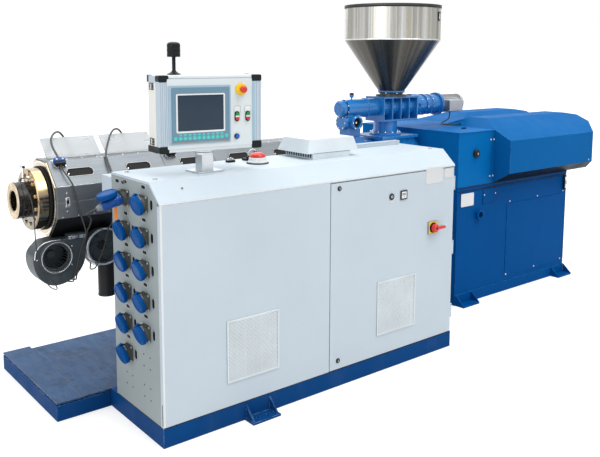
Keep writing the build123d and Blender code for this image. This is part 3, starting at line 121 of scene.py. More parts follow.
class Finish(Nodes):
    """A material, kept in M under its name."""

    def __init__(self, name, colour, rough, metal=0.0, coat=0.0, coat_rough=0.1, gloss=None):
        mat = M[name] = bpy.data.materials.new(name)
        mat.use_nodes = True
        super().__init__(mat.node_tree)
        self.shader = self.tree.nodes["Principled BSDF"]
        self.set("Base Color", colour)
        self.set("Roughness", rough)
        self.set("Metallic", metal)
        self.set("Specular IOR Level", gloss)
        if coat:
            self.set("Coat Weight", coat)
            self.set("Coat Roughness", coat_rough)
        self.place = self.node("TexCoord").outputs["Object"]

    def set(self, socket, value):
        self.feed(self.shader.inputs[socket], value)

    def stretched(self, scale, turn=(0, 0, 0)):
        return self.node("Mapping", {"Scale": scale, "Rotation": turn, "Vector": self.place}).outputs[0]

    def noise(self, scale, detail=3.0, rough=0.55, vector=None):
        return self.node("TexNoise", {"Scale": scale, "Detail": detail, "Roughness": rough,
                                      "Vector": vector or self.place}).outputs["Fac"]

    def patches(self, scale, detail, rough, low, high, share):
        """Spots of noise between two levels, times their share."""
        return self.math("MULTIPLY", self.ramp(self.noise(scale, detail, rough), low, high), share)

    def mix(self, factor, a, b):
        return self.node("Mix", {0: factor, 6: a, 7: b}, data_type="RGBA").outputs[2]

    def blend(self, factor, a, b):
        """Mixes two colours to the tone, which is the base colour."""
        self.tone = self.mix(factor, a, b)
        self.set("Base Color", self.tone)

    def layer(self, factor, colour):
        self.blend(factor, self.tone, colour)

    def normal_up(self):
        """The Z share of the face's normal."""
        return self.split(self.node("NewGeometry").outputs["Normal"])["Z"]

    def edges(self, radius, low=0.02, high=0.25):
        """How much a spot turns away from its neighbours: 1 along a sharp edge."""
        soft = self.node("Bevel", {"Radius": radius}, samples=6).outputs[0]
        plain = self.node("NewGeometry").outputs["Normal"]
        dot = self.node("VectorMath", {0: soft, 1: plain}, operation="DOT_PRODUCT").outputs["Value"]
        return self.ramp(self.math("SUBTRACT", 1.0, dot), low, high)

    def worn(self, radius, scale, detail=4, rough=0.7, low=0.42, high=0.62):
        """Edges broken up by noise, where paint is rubbed off; paint() also lays a painted edge
        highlight on them.
        """
        return self.math("MULTIPLY", self.edges(radius),
                         self.ramp(self.noise(scale, detail, rough), low, high))

    def bump(self, height, distance, strength=1.0, round_edge=0.0):
        bump = self.node("Bump", {"Strength": strength, "Distance": distance, "Height": height})
        if round_edge:
            bevel = self.node("Bevel", {"Radius": round_edge}, samples=6)
            self.feed(bump.inputs["Normal"], bevel.outputs[0])
        self.set("Normal", bump.outputs[0])


def darker(colour, share):
    return tuple(c * share for c in colour)


def lighter(colour, share):
    return tuple(c + (1 - c) * share for c in colour)


def brighter(colour, share):
    return tuple(min(1, c * (1 + share)) for c in colour)


def paint(name, colour, rough=0.4, coat=0.0, vary=0.06, speckle=0.0, wear_and_edge_highlight=None, dust=0.0,
          edge=0.002, peel=0.00006, gloss=0.12, painted_under_shade=None):
    """Sprayed paint: slow shade changes, smudges, orange peel, dust, lighter edges that are partly worn
    and partly a painted highlight, and painted shade on faces that look down.
    """
    f = Finish(name, colour, rough, coat=coat, coat_rough=0.25, gloss=gloss)
    f.blend(f.ramp(f.noise(1.7, 4, 0.6)), darker(colour, 1 - vary), brighter(colour, vary))
    if speckle:
        f.layer(f.patches(900, 2, 0.7, 0.56, 0.72, speckle), brighter(colour, 0.7))
    if dust:
        streaks = f.noise(5, 5, 0.65, f.stretched((1, 1, 0.25)))
        f.layer(f.math("MULTIPLY", f.ramp(streaks, 0.5, 0.75), dust), (0.42, 0.41, 0.39))
    # Painted shade: faces that look down blend to this darker colour.
    if painted_under_shade:
        f.blend(f.ramp(f.normal_up(), -0.5, -0.2), painted_under_shade, f.tone)
    # Lighter edges: partly worn paint, partly a painted highlight along folds and edges.
    if wear_and_edge_highlight:
        f.layer(f.worn(edge * 1.5, 38), wear_and_edge_highlight)
    f.set("Roughness", f.ramp(f.noise(9, 5, 0.6), 0.25, 0.75, rough - 0.07, rough + 0.1))
    f.bump(f.noise(420, 3, 0.5), peel, 0.6, edge)


def brushed(name, colour, rough=0.32, grain=(4, 260, 260), vary=0.1, tint=None, stain=0.0):
    """Brushed or rolled metal with grain along one way, tints and fingerprints."""
    f = Finish(name, colour, rough, metal=1.0)
    lines = f.noise(1.0, 5, 0.6, f.stretched(grain))
    slow = f.noise(2.6, 3, 0.5)
    f.blend(f.ramp(lines), darker(colour, 1 - vary), lighter(colour, vary * 0.5))
    if tint:
        f.layer(f.ramp(slow, 0.42, 0.62, 0, 0.75), tint)
    if stain:
        f.layer(f.patches(14, 5, 0.7, 0.52, 0.7, stain), (0.1, 0.09, 0.08))
    f.set("Roughness", f.ramp(f.math("ADD", lines, slow), 0.7, 1.3, rough - 0.08, rough + 0.12))
    f.bump(lines, 0.00004, 0.7, 0.0015)


def plastic(name, colour, rough=0.45, grain=380, depth=0.00008, vary=0.05, coat=0.0, dirt=0.12,
            gloss=0.2):
    """Moulded plastic with fine grain and grime in its slow patches."""
    f = Finish(name, colour, rough, coat=coat, gloss=gloss)
    fine = f.noise(grain, 3, 0.6)
    f.blend(f.ramp(f.noise(6, 4)), darker(colour, 1 - vary * 1.5), brighter(colour, vary))
    f.layer(f.patches(23, 5, 0.7, 0.55, 0.8, dirt), darker(colour, 0.45))
    f.set("Roughness", f.ramp(fine, 0.3, 0.7, rough - 0.06, rough + 0.08))
    f.bump(fine, depth, 0.5, 0.0008)


def clear_sheet(name, colour):
    """Frosted sheet that lets part of the light through, with wipe marks."""
    f = Finish(name, colour, 0.28)
    f.set("Transmission Weight", 0.55)
    f.set("IOR", 1.45)
    wipes = f.noise(1.0, 3, 0.5, f.stretched((2, 6, 12), (0.4, 0, 0)))
    f.blend(f.ramp(wipes, 0.35, 0.7), colour, darker(colour, 0.95))
    f.set("Roughness", f.ramp(wipes, 0.3, 0.7, 0.2, 0.42))
    f.bump(f.noise(60, 4), 0.0002, 0.3)


def worn_deck(name, colour):
    """Floor plate paint: scraped, dusty and lighter where it is walked on."""
    f = Finish(name, colour, 0.5, gloss=0.15)
    f.blend(f.ramp(f.noise(2.2, 5, 0.6)), darker(colour, 0.8), brighter(colour, 0.25))
    scrape = f.noise(1.0, 6, 0.75, f.stretched((30, 7, 30), (0, 0, 0.5)))
    f.layer(f.ramp(scrape, 0.6, 0.7, 0, 0.45), (0.07, 0.15, 0.28))
    f.layer(f.ramp(f.noise(8, 6, 0.75), 0.5, 0.62, 0, 0.55), (0.01, 0.032, 0.065))
    f.layer(f.patches(70, 6, 0.8, 0.66, 0.72, 0.7), (0.35, 0.37, 0.42))
    f.layer(f.worn(0.004, 26, 5, 0.75, 0.4, 0.6), (0.42, 0.45, 0.52))
    f.set("Roughness", f.ramp(scrape, 0.3, 0.7, 0.35, 0.62))
    f.bump(f.noise(160, 5, 0.65), 0.0002, 0.6, 0.002)


def sheet_metal(name, upper, lower, painted_under_shade):
    """Cover sheet whose colour follows which way each face looks, as painted light and shade: one tone
    on slopes that look up, another on the sides, a painted highlight on flat tops, painted shade on
    slopes that look down.
    """
    f = Finish(name, upper, 0.4, metal=1.0)
    lines = f.noise(1.0, 5, 0.6, f.stretched((5, 300, 300)))
    height = f.normal_up()
    # Masks by facing for painted light and shade: up-facing slopes, flat tops with a painted highlight,
    # and down-facing slopes with painted shade.
    up, top, painted_shade_down = (f.ramp(height, *span) for span in ((0.1, 0.65), (0.8, 0.98), (-0.5, -0.2)))
    f.blend(up, f.mix(f.ramp(lines), darker(lower, 0.85), lighter(lower, 0.03)),
            f.mix(f.ramp(lines), darker(upper, 0.9), lighter(upper, 0.06)))
    f.layer(top, lighter(upper, 0.05))
    f.blend(painted_shade_down, painted_under_shade, f.tone)
    f.layer(f.patches(7, 5, 0.7, 0.5, 0.75, 0.22), (0.12, 0.115, 0.11))
    f.layer(f.math("MULTIPLY", f.worn(0.003, 30, low=0.35, high=0.6), 0.6), (0.6, 0.61, 0.62))
    f.set("Roughness", f.ramp(f.noise(4, 4, 0.6), 0.3, 0.7, 0.34, 0.5))
    f.bump(lines, 0.00004, 0.6, 0.0015)


HOPPER_X, HOPPER_JOINT = 2.546, 1.996


def rolled_hopper(name):
    """Rolled bright drum over a duller cone. The bands round their common axis are painted reflections:
    light and dark on the drum, darker on the cone, with a warm line where the drum's bands change.
    """
    f = Finish(name, (0.6, 0.6, 0.58), 0.2, metal=0.8)
    axis = f.node("VectorMath", {0: f.place, 1: (HOPPER_X, 0, 0)}, operation="SUBTRACT").outputs[0]
    parts = f.split(axis)
    turn = f.math("ARCTAN2", parts["Y"], parts["X"])
    circle = f.node("CombineXYZ", {"X": f.math("MULTIPLY", turn, 2.2)}).outputs[0]
    # Painted reflections: bands of light and dark by the angle round the axis.
    bands = f.noise(2.0, 3, 0.62, circle)
    fine = f.noise(1.0, 4, 0.6, f.stretched((160, 160, 3)))
    drum = f.mix(f.ramp(bands, 0.34, 0.62), (0.3, 0.29, 0.26), (0.97, 0.97, 0.95))
    away = f.math("ABSOLUTE", f.math("SUBTRACT", bands, 0.5))
    drum = f.mix(f.ramp(away, 0.0, 0.03, 0.6, 0), drum, (0.62, 0.55, 0.36))
    cone = f.mix(f.ramp(bands, 0.4, 0.66), (0.042, 0.04, 0.036), (0.13, 0.125, 0.112))
    high = f.ramp(parts["Z"], HOPPER_JOINT, HOPPER_JOINT + 0.004)
    f.blend(high, cone, drum)
    f.layer(f.math("MULTIPLY", f.ramp(fine, 0.55, 0.8), 0.2), (0.1, 0.1, 0.1))
    f.set("Roughness", f.math("ADD", f.ramp(high, 0, 1, 0.12, 0.0), f.ramp(fine, 0.3, 0.7, 0.12, 0.26)))
    f.bump(fine, 0.00003, 0.6, 0.001)


def die_steel(name):
    """Blackened body whose front face is bare and straw-coloured from heat."""
    f = Finish(name, (0.005, 0.005, 0.006), 0.24, gloss=0.3)
    face = f.ramp(f.split(f.place)["X"], -0.3379, -0.3375, 1, 0)
    smears = f.ramp(f.noise(24, 4, 0.6), 0.35, 0.65)
    bare = f.mix(smears, (0.42, 0.3, 0.17), (0.66, 0.53, 0.36))
    black = f.mix(smears, (0.004, 0.004, 0.005), (0.012, 0.011, 0.01))
    f.blend(f.worn(0.003, 38), f.mix(face, black, bare), (0.4, 0.36, 0.28))
    f.set("Metallic", face)
    f.set("Roughness", f.ramp(f.noise(60, 4, 0.6), 0.3, 0.7, 0.18, 0.34))
    f.bump(f.noise(300, 3, 0.5), 0.00005, 0.6, 0.0015)


M = {}
worn_deck("base_paint", (0.022, 0.076, 0.185))
paint("plinth_paint", (0.004, 0.055, 0.2), 0.45, vary=0.1, wear_and_edge_highlight=(0.3, 0.48, 0.7), dust=0.03, edge=0.004,
      gloss=0.03)
paint("machine_paint", (0.0006, 0.074, 0.275), 0.42, speckle=0.25, wear_and_edge_highlight=(0.1, 0.3, 0.6), gloss=0.02)
# Gearbox paint: the machine's blue made lighter, standing in for more light on the gearbox: painted
# light.
paint("gearbox_paint_lit_copy", (0.002, 0.135, 0.41), 0.4, speckle=0.2, wear_and_edge_highlight=(0.1, 0.34, 0.66), gloss=0.02)
paint("hood_paint", (0.0025, 0.11, 0.34), 0.42, speckle=0.6, wear_and_edge_highlight=(0.14, 0.4, 0.72), edge=0.004,
      gloss=0.02, painted_under_shade=(0.004, 0.012, 0.028))
paint("feeder_paint", (0.008, 0.165, 0.48), 0.24, 0.3, vary=0.16, wear_and_edge_highlight=(0.2, 0.5, 0.82), edge=0.004,
      gloss=0.45)
paint("cabinet_paint", (0.54, 0.615, 0.68), 0.42, vary=0.03, wear_and_edge_highlight=(0.82, 0.86, 0.9), dust=0.03)
paint("panel_paint", (0.33, 0.37, 0.375), 0.5, vary=0.05, wear_and_edge_highlight=(0.66, 0.64, 0.58), dust=0.1)
paint("dark_iron", (0.018, 0.018, 0.02), 0.45, 0.15, vary=0.3, wear_and_edge_highlight=(0.3, 0.3, 0.3), peel=0.0002)
paint("blower_grey", (0.06, 0.075, 0.085), 0.42, 0.2, vary=0.2, dust=0.15, wear_and_edge_highlight=(0.4, 0.42, 0.43))
paint("cream_paint", (0.86, 0.84, 0.79), 0.45, vary=0.02, dust=0.03)
paint("profile_grey", (0.5, 0.59, 0.67), 0.36, vary=0.03, gloss=0.4, edge=0.001)
paint("panel_white", (0.69, 0.745, 0.77), 0.38, vary=0.02, edge=0.001)
brushed("cover_steel", (0.36, 0.365, 0.37), 0.38, (5, 300, 300), 0.12, stain=0.18)
brushed("cover_dark", (0.045, 0.047, 0.05), 0.42, (5, 300, 300), 0.15)
brushed("bare_steel", (0.5, 0.5, 0.49), 0.3, (200, 30, 30), 0.15, stain=0.3)
brushed("warm_steel", (0.56, 0.5, 0.4), 0.16, (300, 20, 20), 0.12, (0.62, 0.42, 0.2), 0.1)
brushed("flange_steel", (0.17, 0.145, 0.1), 0.13, (300, 20, 20), 0.3, (0.62, 0.44, 0.22), 0.3)
brushed("motor_grey", (0.48, 0.5, 0.52), 0.4, (120, 40, 40), 0.1, stain=0.25)
brushed("panel_aluminium", (0.62, 0.66, 0.69), 0.35, (6, 6, 300), 0.05)
brushed("plate_metal", (0.62, 0.63, 0.64), 0.4, (8, 200, 200), 0.06)
brushed("chrome", (0.78, 0.79, 0.8), 0.14, (90, 90, 90), 0.06)
sheet_metal("cover_sheet", (0.155, 0.175, 0.195), (0.25, 0.265, 0.285), (0.06, 0.062, 0.066))
rolled_hopper("hopper_steel")
die_steel("die_black")
clear_sheet("guard_clear", (0.58, 0.61, 0.63))
plastic("vent_plastic", (0.7, 0.76, 0.8), 0.5, dirt=0.05)
plastic("dark_plastic", (0.03, 0.032, 0.034), 0.4)
plastic("socket_plastic", (0.001, 0.072, 0.27), 0.3, gloss=0.06)
plastic("signal_red", (0.62, 0.025, 0.015), 0.28, coat=0.5)
plastic("signal_yellow", (0.85, 0.55, 0.02), 0.35, coat=0.2)
plastic("cable_black", (0.055, 0.055, 0.056), 0.5, 900)
plastic("conduit_grey", (0.09, 0.09, 0.095), 0.45, 700)
plastic("seam_dark", (0.006, 0.006, 0.007), 0.6, dirt=0.0)
plastic("white_plastic", (0.77, 0.78, 0.78), 0.4, vary=0.03, dirt=0.05)
plastic("grey_plastic", (0.3, 0.31, 0.32), 0.45)
plastic("socket_grey", (0.1, 0.105, 0.092), 0.42, vary=0.12, dirt=0.3)
plastic("plug_blue", (0.006, 0.075, 0.33), 0.3, vary=0.1, coat=0.15, dirt=0.3)
plastic("gland_grey", (0.22, 0.24, 0.26), 0.4)
plastic("tag_orange", (0.85, 0.22, 0.03), 0.55, vary=0.08)
plastic("bezel_light", (0.36, 0.5, 0.6), 0.4, vary=0.03, dirt=0.03)
plastic("bezel_blue", (0.16, 0.27, 0.36), 0.42, vary=0.03, dirt=0.04)
plastic("screen_glass", (0.011, 0.03, 0.055), 0.12, 30, 0.00001, coat=0.3, dirt=0.0)
plastic("key_teal", (0.07, 0.6, 0.53), 0.4, vary=0.05, dirt=0.06)
plastic("signal_green", (0.01, 0.28, 0.06), 0.3, coat=0.2)
plastic("button_blue", (0.02, 0.13, 0.6), 0.3, coat=0.2)
plastic("rubber_black", (0.008, 0.012, 0.012), 0.42, 500, vary=0.2, dirt=0.2)

OWN_FINISH = {"end_flange": "flange_steel", "gearbox_housing": "gearbox_paint_lit_copy",
              "hopper_lid": "cover_dark", "cabinet_plinth": "plinth_paint",
              "base_frame": "plinth_paint", "front_drive_hood": "hood_paint",
              "rear_drive_hood": "hood_paint", "cabinet_end_panel": "panel_paint",
              "upper_covers": "cover_sheet", "lower_covers": "cover_sheet",
              "hopper_shell": "hopper_steel", "die_body": "die_black"}
for part in frame["record"]["subparts"]:
    mesh = frame["nodes"][part["node"]].data
    mesh.materials.clear()
    mesh.materials.append(M[OWN_FINISH.get(part["node"], part["material_slot"])])


# Shapes
PLACES = {"x": lambda a, b, s: (s, a, b), "y": lambda a, b, s: (a, s, b), "z": lambda a, b, s: (a, b, s)}
# Screw heads: sides, and (height, radius) as shares of the head's radius
HEADS = {"socket": (16, ((0, 1), (0.7, 1), (0.8, 0.9), (0.8, 0.5), (0.4, 0.45))),
         "dome": (14, ((0, 1), (0.25, 0.92), (0.45, 0.65), (0.5, 0.3), (0.3, 0.22))),
         "hex": (6, ((0, 1), (0.6, 1), (0.75, 0.8)))}
SHARP_ANGLE, BEVEL_ANGLE = radians(32), radians(38)


def around(count, shift=0.0):
    """Cosine and sine of directions spread evenly round a circle."""
    angles = [2 * pi * (k + shift) / count for k in range(count)]
    return [(cos(a), sin(a)) for a in angles]


def round_box(across, up, wide, high, r, sides=5):
    """The outline of a plate with rounded corners around a point."""
    points = []
    for corner, (sx, sy) in enumerate(((1, 1), (-1, 1), (-1, -1), (1, -1))):
        for k in range(sides + 1):
            a = pi / 2 * (corner + k / sides)
            points.append((across + sx * (wide / 2 - r) + r * cos(a),
                           up + sy * (high / 2 - r) + r * sin(a)))
    return points


def slot_outline(across, up, long, wide):
    return round_box(across, up, long, wide, min(long, wide) / 2, 8)


class Kit:
    """Gathers shapes in millimetres, each with a finish, and makes one piece of them."""

    def __init__(self, at=STILL):
        self.mesh = bmesh.new()
        self.at = at
        self.finishes = []

    def put(self, points, faces, finish):
        if finish not in self.finishes:
            self.finishes.append(finish)
        verts = [self.mesh.verts.new((self.at @ Vector(p)) * MM) for p in points]
        for face in faces:
            made = self.mesh.faces.new([verts[i] for i in face])
            made.material_index = self.finishes.index(finish)
            made.smooth = True

    def loft(self, rings, finish):
        """Rings with as many points each, joined in turn and capped at both ends."""
        n, last = len(rings[0]), len(rings) - 1
        faces = [tuple(range(n))[::-1], tuple(range(last * n, last * n + n))]
        for a in range(0, last * n, n):
            for k in range(n):
                j = (k + 1) % n
                faces.append((a + k, a + j, a + n + j, a + n + k))
        self.put([p for ring in rings for p in ring], faces, finish)

    def box(self, x, y, z, finish):
        points = [(a, b, c) for a in sorted(x) for b in sorted(y) for c in sorted(z)]
        self.put(points, [(0, 1, 3, 2), (4, 6, 7, 5), (0, 4, 5, 1), (2, 3, 7, 6), (0, 2, 6, 4),
                          (1, 5, 7, 3)], finish)

    def prism(self, outline, axis, span, finish):
        """An outline of points in the two other axes, drawn out along x, y or z."""
        self.loft([[PLACES[axis](a, b, s) for a, b in outline] for s in sorted(span)], finish)

    def plate(self, x, z, wide, high, r, span, finish):
        """A plate with rounded corners that faces the front or the back."""
        self.prism(round_box(x, z, wide, high, r), "y", span, finish)

    def turned(self, start, axis, profile, finish, sides=32, loop=False, solid=True):
        """A profile of (distance along the axis, radius) turned about it.

        A solid one is closed at both ends of the axis, and a loop by its own start.
        """
        along = Vector(axis).normalized()
        across = along.orthogonal().normalized()
        third = along.cross(across)
        if solid and not loop:
            profile = [(profile[0][0], 0), *profile]
            if profile[-1][1] > 0:
                profile.append((profile[-1][0], 0))
        points, rings = [], []
        for distance, radius in profile:
            middle = Vector(start) + along * distance
            turn = around(sides) if radius > 0 else [(0, 0)]
            rings.append([len(points) + k for k in range(len(turn))])
            points += [middle + (across * c + third * s) * radius for c, s in turn]
        faces = []
        for low, high in list(zip(rings, rings[1:])) + ([(rings[-1], rings[0])] if loop else []):
            for k in range(sides):
                n = (k + 1) % sides
                if len(low) == len(high) == 1:
                    break
                if len(low) == 1:
                    faces.append((low[0], high[k], high[n]))
                elif len(high) == 1:
                    faces.append((low[k], high[0], low[n]))
                else:
                    faces.append((low[k], high[k], high[n], low[n]))
        self.put(points, faces, finish)

    def ring(self, start, axis, inner, outer, height, finish, sides):
        self.turned(start, axis, [(0, inner), (0, outer), (height, outer), (height, inner)], finish,
                    sides, loop=True)

    def rod(self, start, end, radius, finish, sides=24):
        way = Vector(end) - Vector(start)
        self.turned(start, way, [(0, radius), (way.length, radius)], finish, sides)

    def bent(self, points, radius, finish, sides=10):
        """A round wire along a few points, capped at both ends."""
        points = [Vector(p) for p in points]
        rings, side = [], None
        for i, p in enumerate(points):
            way = (points[min(i + 1, len(points) - 1)] - points[max(i - 1, 0)]).normalized()
            side = (side - way * side.dot(way) if side else way.orthogonal()).normalized()
            other = way.cross(side)
            rings.append([p + (side * c + other * s) * radius for c, s in around(sides)])
        self.loft(rings, finish)

    def ribs(self, start, axis, span, count, shape, finish, top=2.0):
        """Bars along an axis and spread round it. The shape is a list of (radius, width) corners.

        Bars whose sine reaches top are left out.
        """
        along, side = Vector(axis), Vector(BACK)
        for c, s in around(count):
            radial = side * c + along.cross(side) * s
            across = along.cross(radial)
            if s < top:
                self.loft([[Vector(start) + along * d + radial * r + across * w for r, w in shape]
                           for d in span], finish)

    def screw(self, place, out, radius, finish="chrome", kind="dome"):
        """A screw head that stands on a face and points along out."""
        sides, profile = HEADS[kind]
        self.turned(place, out, [(radius * d, radius * r) for d, r in profile], finish, sides)
        if kind == "hex":
            self.turned(place, out, [(0, radius * 1.3), (radius * 0.15, radius * 1.3)], finish, 20)

    def screws(self, xs, ys, zs, out, radius, finish="chrome"):
        """A grid of screws. Each of the three is a number or several."""
        xs, ys, zs = ([v] if isinstance(v, (int, float)) else v for v in (xs, ys, zs))
        for place in [(x, y, z) for x in xs for y in ys for z in zs]:
            self.screw(place, out, radius, finish)

    def bolts(self, centre, out, count, spread, radius, finish="chrome", kind="hex", shift=0.5):
        """Screws spread over a circle round an axis along x, y or z."""
        place = PLACES["xyz"[[abs(v) for v in out].index(1)]]
        for c, s in around(count, shift):
            self.screw(Vector(centre) + Vector(place(spread * c, spread * s, 0)), out, radius, finish,
                       kind)

    def rim(self, outer, inner, axis, span, finish):
        """A flat frame between two outlines with as many points each."""
        n = len(outer)
        points = [PLACES[axis](a, b, s) for s in span for line in (outer, inner) for a, b in line]
        faces = []
        for i in range(n):
            j = (i + 1) % n
            faces += [(i, j, n + j, n + i), (2 * n + i, 3 * n + i, 3 * n + j, 2 * n + j),
                      (i, 2 * n + i, 2 * n + j, j), (n + i, n + j, 3 * n + j, 3 * n + i)]
        self.put(points, faces, finish)

    def make(self, name, body="machine", bevel=0.6, slot=None, replaces=()):
        bmesh.ops.recalc_face_normals(self.mesh, faces=self.mesh.faces)
        data = bpy.data.meshes.new(name)
        self.mesh.to_mesh(data)
        self.mesh.free()
        for finish in self.finishes:
            data.materials.append(M[finish])
        data.set_sharp_from_angle(angle=SHARP_ANGLE)
        piece = add_object(name, data)
        if bevel:
            soften = piece.modifiers.new("soft_edges", "BEVEL")
            soften.width = bevel * MM
            soften.segments = 2
            soften.limit_method = "ANGLE"
            soften.angle_limit = BEVEL_ANGLE
        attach(piece, body)
        if replaces:
            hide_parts(*replaces)


# Cabinet: the door's side faces -y at FRONT_Y, and the sockets' side faces -x at 0
FRONT_Y = -1010.3
FRONT = Matrix.Translation((0, FRONT_Y, 0))


def louvre(kit, centre_x, centre_z):
    """A fan filter's cover: a darker gasket that is partly painted shade of the gap round the frame, the
    frame, and fine slats that bow outwards.
    """
    half, inner, count, columns = 165, 156, 44, 14
    kit.at = Matrix.Translation((centre_x, FRONT_Y, centre_z))
    # Gasket: a darker rim round the frame, partly a real gasket and partly painted shade of the gap.
    kit.box((-half, half), (-1.2, 0), (-half, half), "grey_plastic")
    for side in SIDES:
        edge = (side * (half - 1), side * inner)
        kit.box(edge, (-6, -1.2), (1 - half, half - 1), "vent_plastic")
        kit.box((-inner, inner), (-6, -1.2), edge, "vent_plastic")
    pitch = 2 * inner / count
    for row in range(count):
        z = (row + 0.5) * pitch - inner
        rings = []
        for share in [k / columns for k in range(columns + 1)]:
            x, y = inner * (2 * share - 1), -1.6 - 3.6 * sin(pi * share) ** 0.7
            rings.append([(x, y, z - pitch * 0.36), (x, y, z + pitch * 0.16),
                          (x, y + 1.2, z + pitch * 0.46), (x, y + 1.2, z - pitch * 0.02)])
        kit.loft(rings, "vent_plastic")
    for k in range(1, 6):
        x = inner * (k / 3 - 1)
        kit.box((x - 1, x + 1), (-2.2, -1.2), (-inner, inner), "vent_plastic")
    kit.at = FRONT


def cabinet_fittings():
    kit = Kit()
    louvre(kit, 529, 392)
    kit.make("left_vent_louvre", bevel=0.5, slot="vent_plastic", replaces=["left_vent_grille"])

    kit = Kit()
    louvre(kit, 1586, 392)
    for z in (155, 1152):
        kit.turned((1116, 0, z), OUT, [(0, 14), (3, 14), (5, 11.5), (5, 9), (3, 8.5)], "rubber_black")
        kit.box((1114.8, 1117.2), (-6, -3), (z - 7, z + 7), "chrome")
    kit.turned((1529, 0, 1058), OUT, [(0, 20), (4, 20), (6, 18), (6, 11), (4.5, 10.5)], "dark_plastic")
    kit.turned((1529, -4.5, 1058), OUT, [(0, 9), (3, 8.4)], "bare_steel")
    kit.box((1528, 1530), (-9, -7), (1053, 1063), "seam_dark")
    kit.plate(1529, 1028, 30, 14, 2, (-1.2, 0), "plate_metal")
    kit.plate(1631, 1058, 56, 56, 4, (-6, 0), "dark_plastic")
    kit.plate(1631, 1058, 40, 40, 2, (-7, -6), "white_plastic")
    kit.plate(1631, 1063, 30, 11, 1, (-7.6, -7), "seam_dark")
    for x in range(1619, 1644, 6):
        kit.box((x - 2, x + 2), (-8, -7.6), (1060, 1066), "white_plastic")
    kit.turned((1631, -7, 1047), OUT, [(0, 3), (1, 2.6)], "dark_plastic", 14)
    # Main switch: grey box with a yellow face and a collar round the shaft
    kit.plate(1893, 822, 80, 80, 5, (-9, 0), "grey_plastic")
    kit.plate(1893, 822, 75, 75, 4, (-11.4, -9), "signal_yellow")
    kit.turned((1893, -11.4, 822), OUT, [(0, 13), (0, 33), (0.5, 32.4), (0.5, 13)], "seam_dark", 48,
               loop=True)
    kit.screws((1861, 1925), -11.2, (790, 854), OUT, 3, "bare_steel")
    # Bare rating plates, riveted
    for x, z, wide, high in ((1905, 1148, 155, 100), (2038, 1152, 78, 58)):
        kit.plate(x, z, wide, high, 3, (-1.4, 0), "plate_metal")
        for sx, sz in CORNERS:
            kit.screw((x + sx * (wide / 2 - 6), -1.4, z + sz * (high / 2 - 6)), OUT, 2.4, "bare_steel")
    kit.make("door_hardware", "door", 0.5, "vent_plastic", ["door_fittings"])

    # Main switch handle: hub with finger grips and a lever that ends in a knob
    kit = Kit()
    kit.turned((1893, -1009.5, 822), OUT, [(0, 12), (19, 12), (19, 24), (21, 26.5), (40, 24), (44, 20),
                                           (44.6, 0)], "signal_red", 40)
    kit.prism([(1893, 811), (1940, 813), (1971, 814), (1976.5, 822), (1971, 830), (1940, 831),
               (1893, 833)], "y", (-1054, -1036.5), "signal_red")
    kit.turned((1893, -1054.1, 822), OUT, [(0, 8), (0.15, 7.5)], "seam_dark", 24)
    kit.make("main_switch_grip", "main_switch", 1.2, "signal_red", ["main_switch_handle"])

    # Seams, roof screws and lifting points of the cabinet
    kit = Kit()
    kit.rod((153, -956, 1251), (153, -959, 1254), 4, "dark_plastic", 14)
    for x, y in ((60, -560), (60, -860), (2030, -560), (2030, -860)):
        kit.turned((x, y, 1290.2), UP, [(0, 13), (2, 13), (2, 9), (7, 8), (9, 5)], "bare_steel", 24)
    kit.prism(slot_outline(-1003, 165, 5, 110), "x", (-0.4, 0.1), "seam_dark")
    kit.screws(-0.3, (-990, -520), (150, 1150), LEFT, 5, "bare_steel")
    kit.screws((40, 560, 1080, 1600, 2050), -504.8, (140, 1090), BACK, 6, "bare_steel")
    kit.plate(1056, 620, 1.2, 1060, 0.5, (-504.9, -504.4), "seam_dark")
    kit.make("cabinet_screws", bevel=0.3)


cabinet_fittings()

SOCKETS = [(y, 1180 - 160 * row) for y, rows in ((-860, 5), (-665, 6)) for row in range(rows)]
OPEN_SOCKET, SOCKET_FACE = (-665, 1180), -28.3
LID_TILT = radians(17)
LID_TOP = [(18, 50.4), (21.6, 49), (23.6, 46), (23.8, 41), (21, 39), (20.6, 33), (22, 31)]
LID_RIB = ((49.8, -1.5), (51.8, -0.9), (51.8, 0.9), (49.8, 1.5))
# Collar round a socket's opening: x, whether it leans with the lid, radius
COLLAR = ((-12.3, 0, 38), (-22, 1, 38), (-22.4, 1, 36), (-27.9, 1, 36), (-28.3, 1, 38))


def socket_base(kit, y, z):
    for grow, span in ((1, (-6, -0.3)), (0.88, (-12.3, -6))):
        kit.prism([(y + a * grow, z + b * grow) for a, b in (
            (-41, -33), (-33, -41), (33, -41), (41, -33), (41, 33), (33, 41), (-33, 41), (-41, 33))],
            "x", span, "socket_grey")
    for sy, sz in CORNERS:
        kit.turned((-6, y + sy * 35, z + sz * 35), LEFT,
                   [(0, 6.5), (4, 6.2), (5, 5), (5, 2.5), (3, 2.2)], "bare_steel", 14)
    kit.loft([[(x - lean * tan(LID_TILT) * r * s, y + r * c, z + r * s) for c, s in around(40)]
              for x, lean, r in COLLAR], "socket_grey")
    for side in SIDES:
        kit.prism([(-12, z + 26), (-35, z + 26), (-41, z + 47), (-12, z + 44)], "y",
                  (y + side * 9, y + side * 14), "socket_grey")
    kit.rod((-37, y - 15, z + 43), (-37, y + 15, z + 43), 3, "bare_steel", 12)


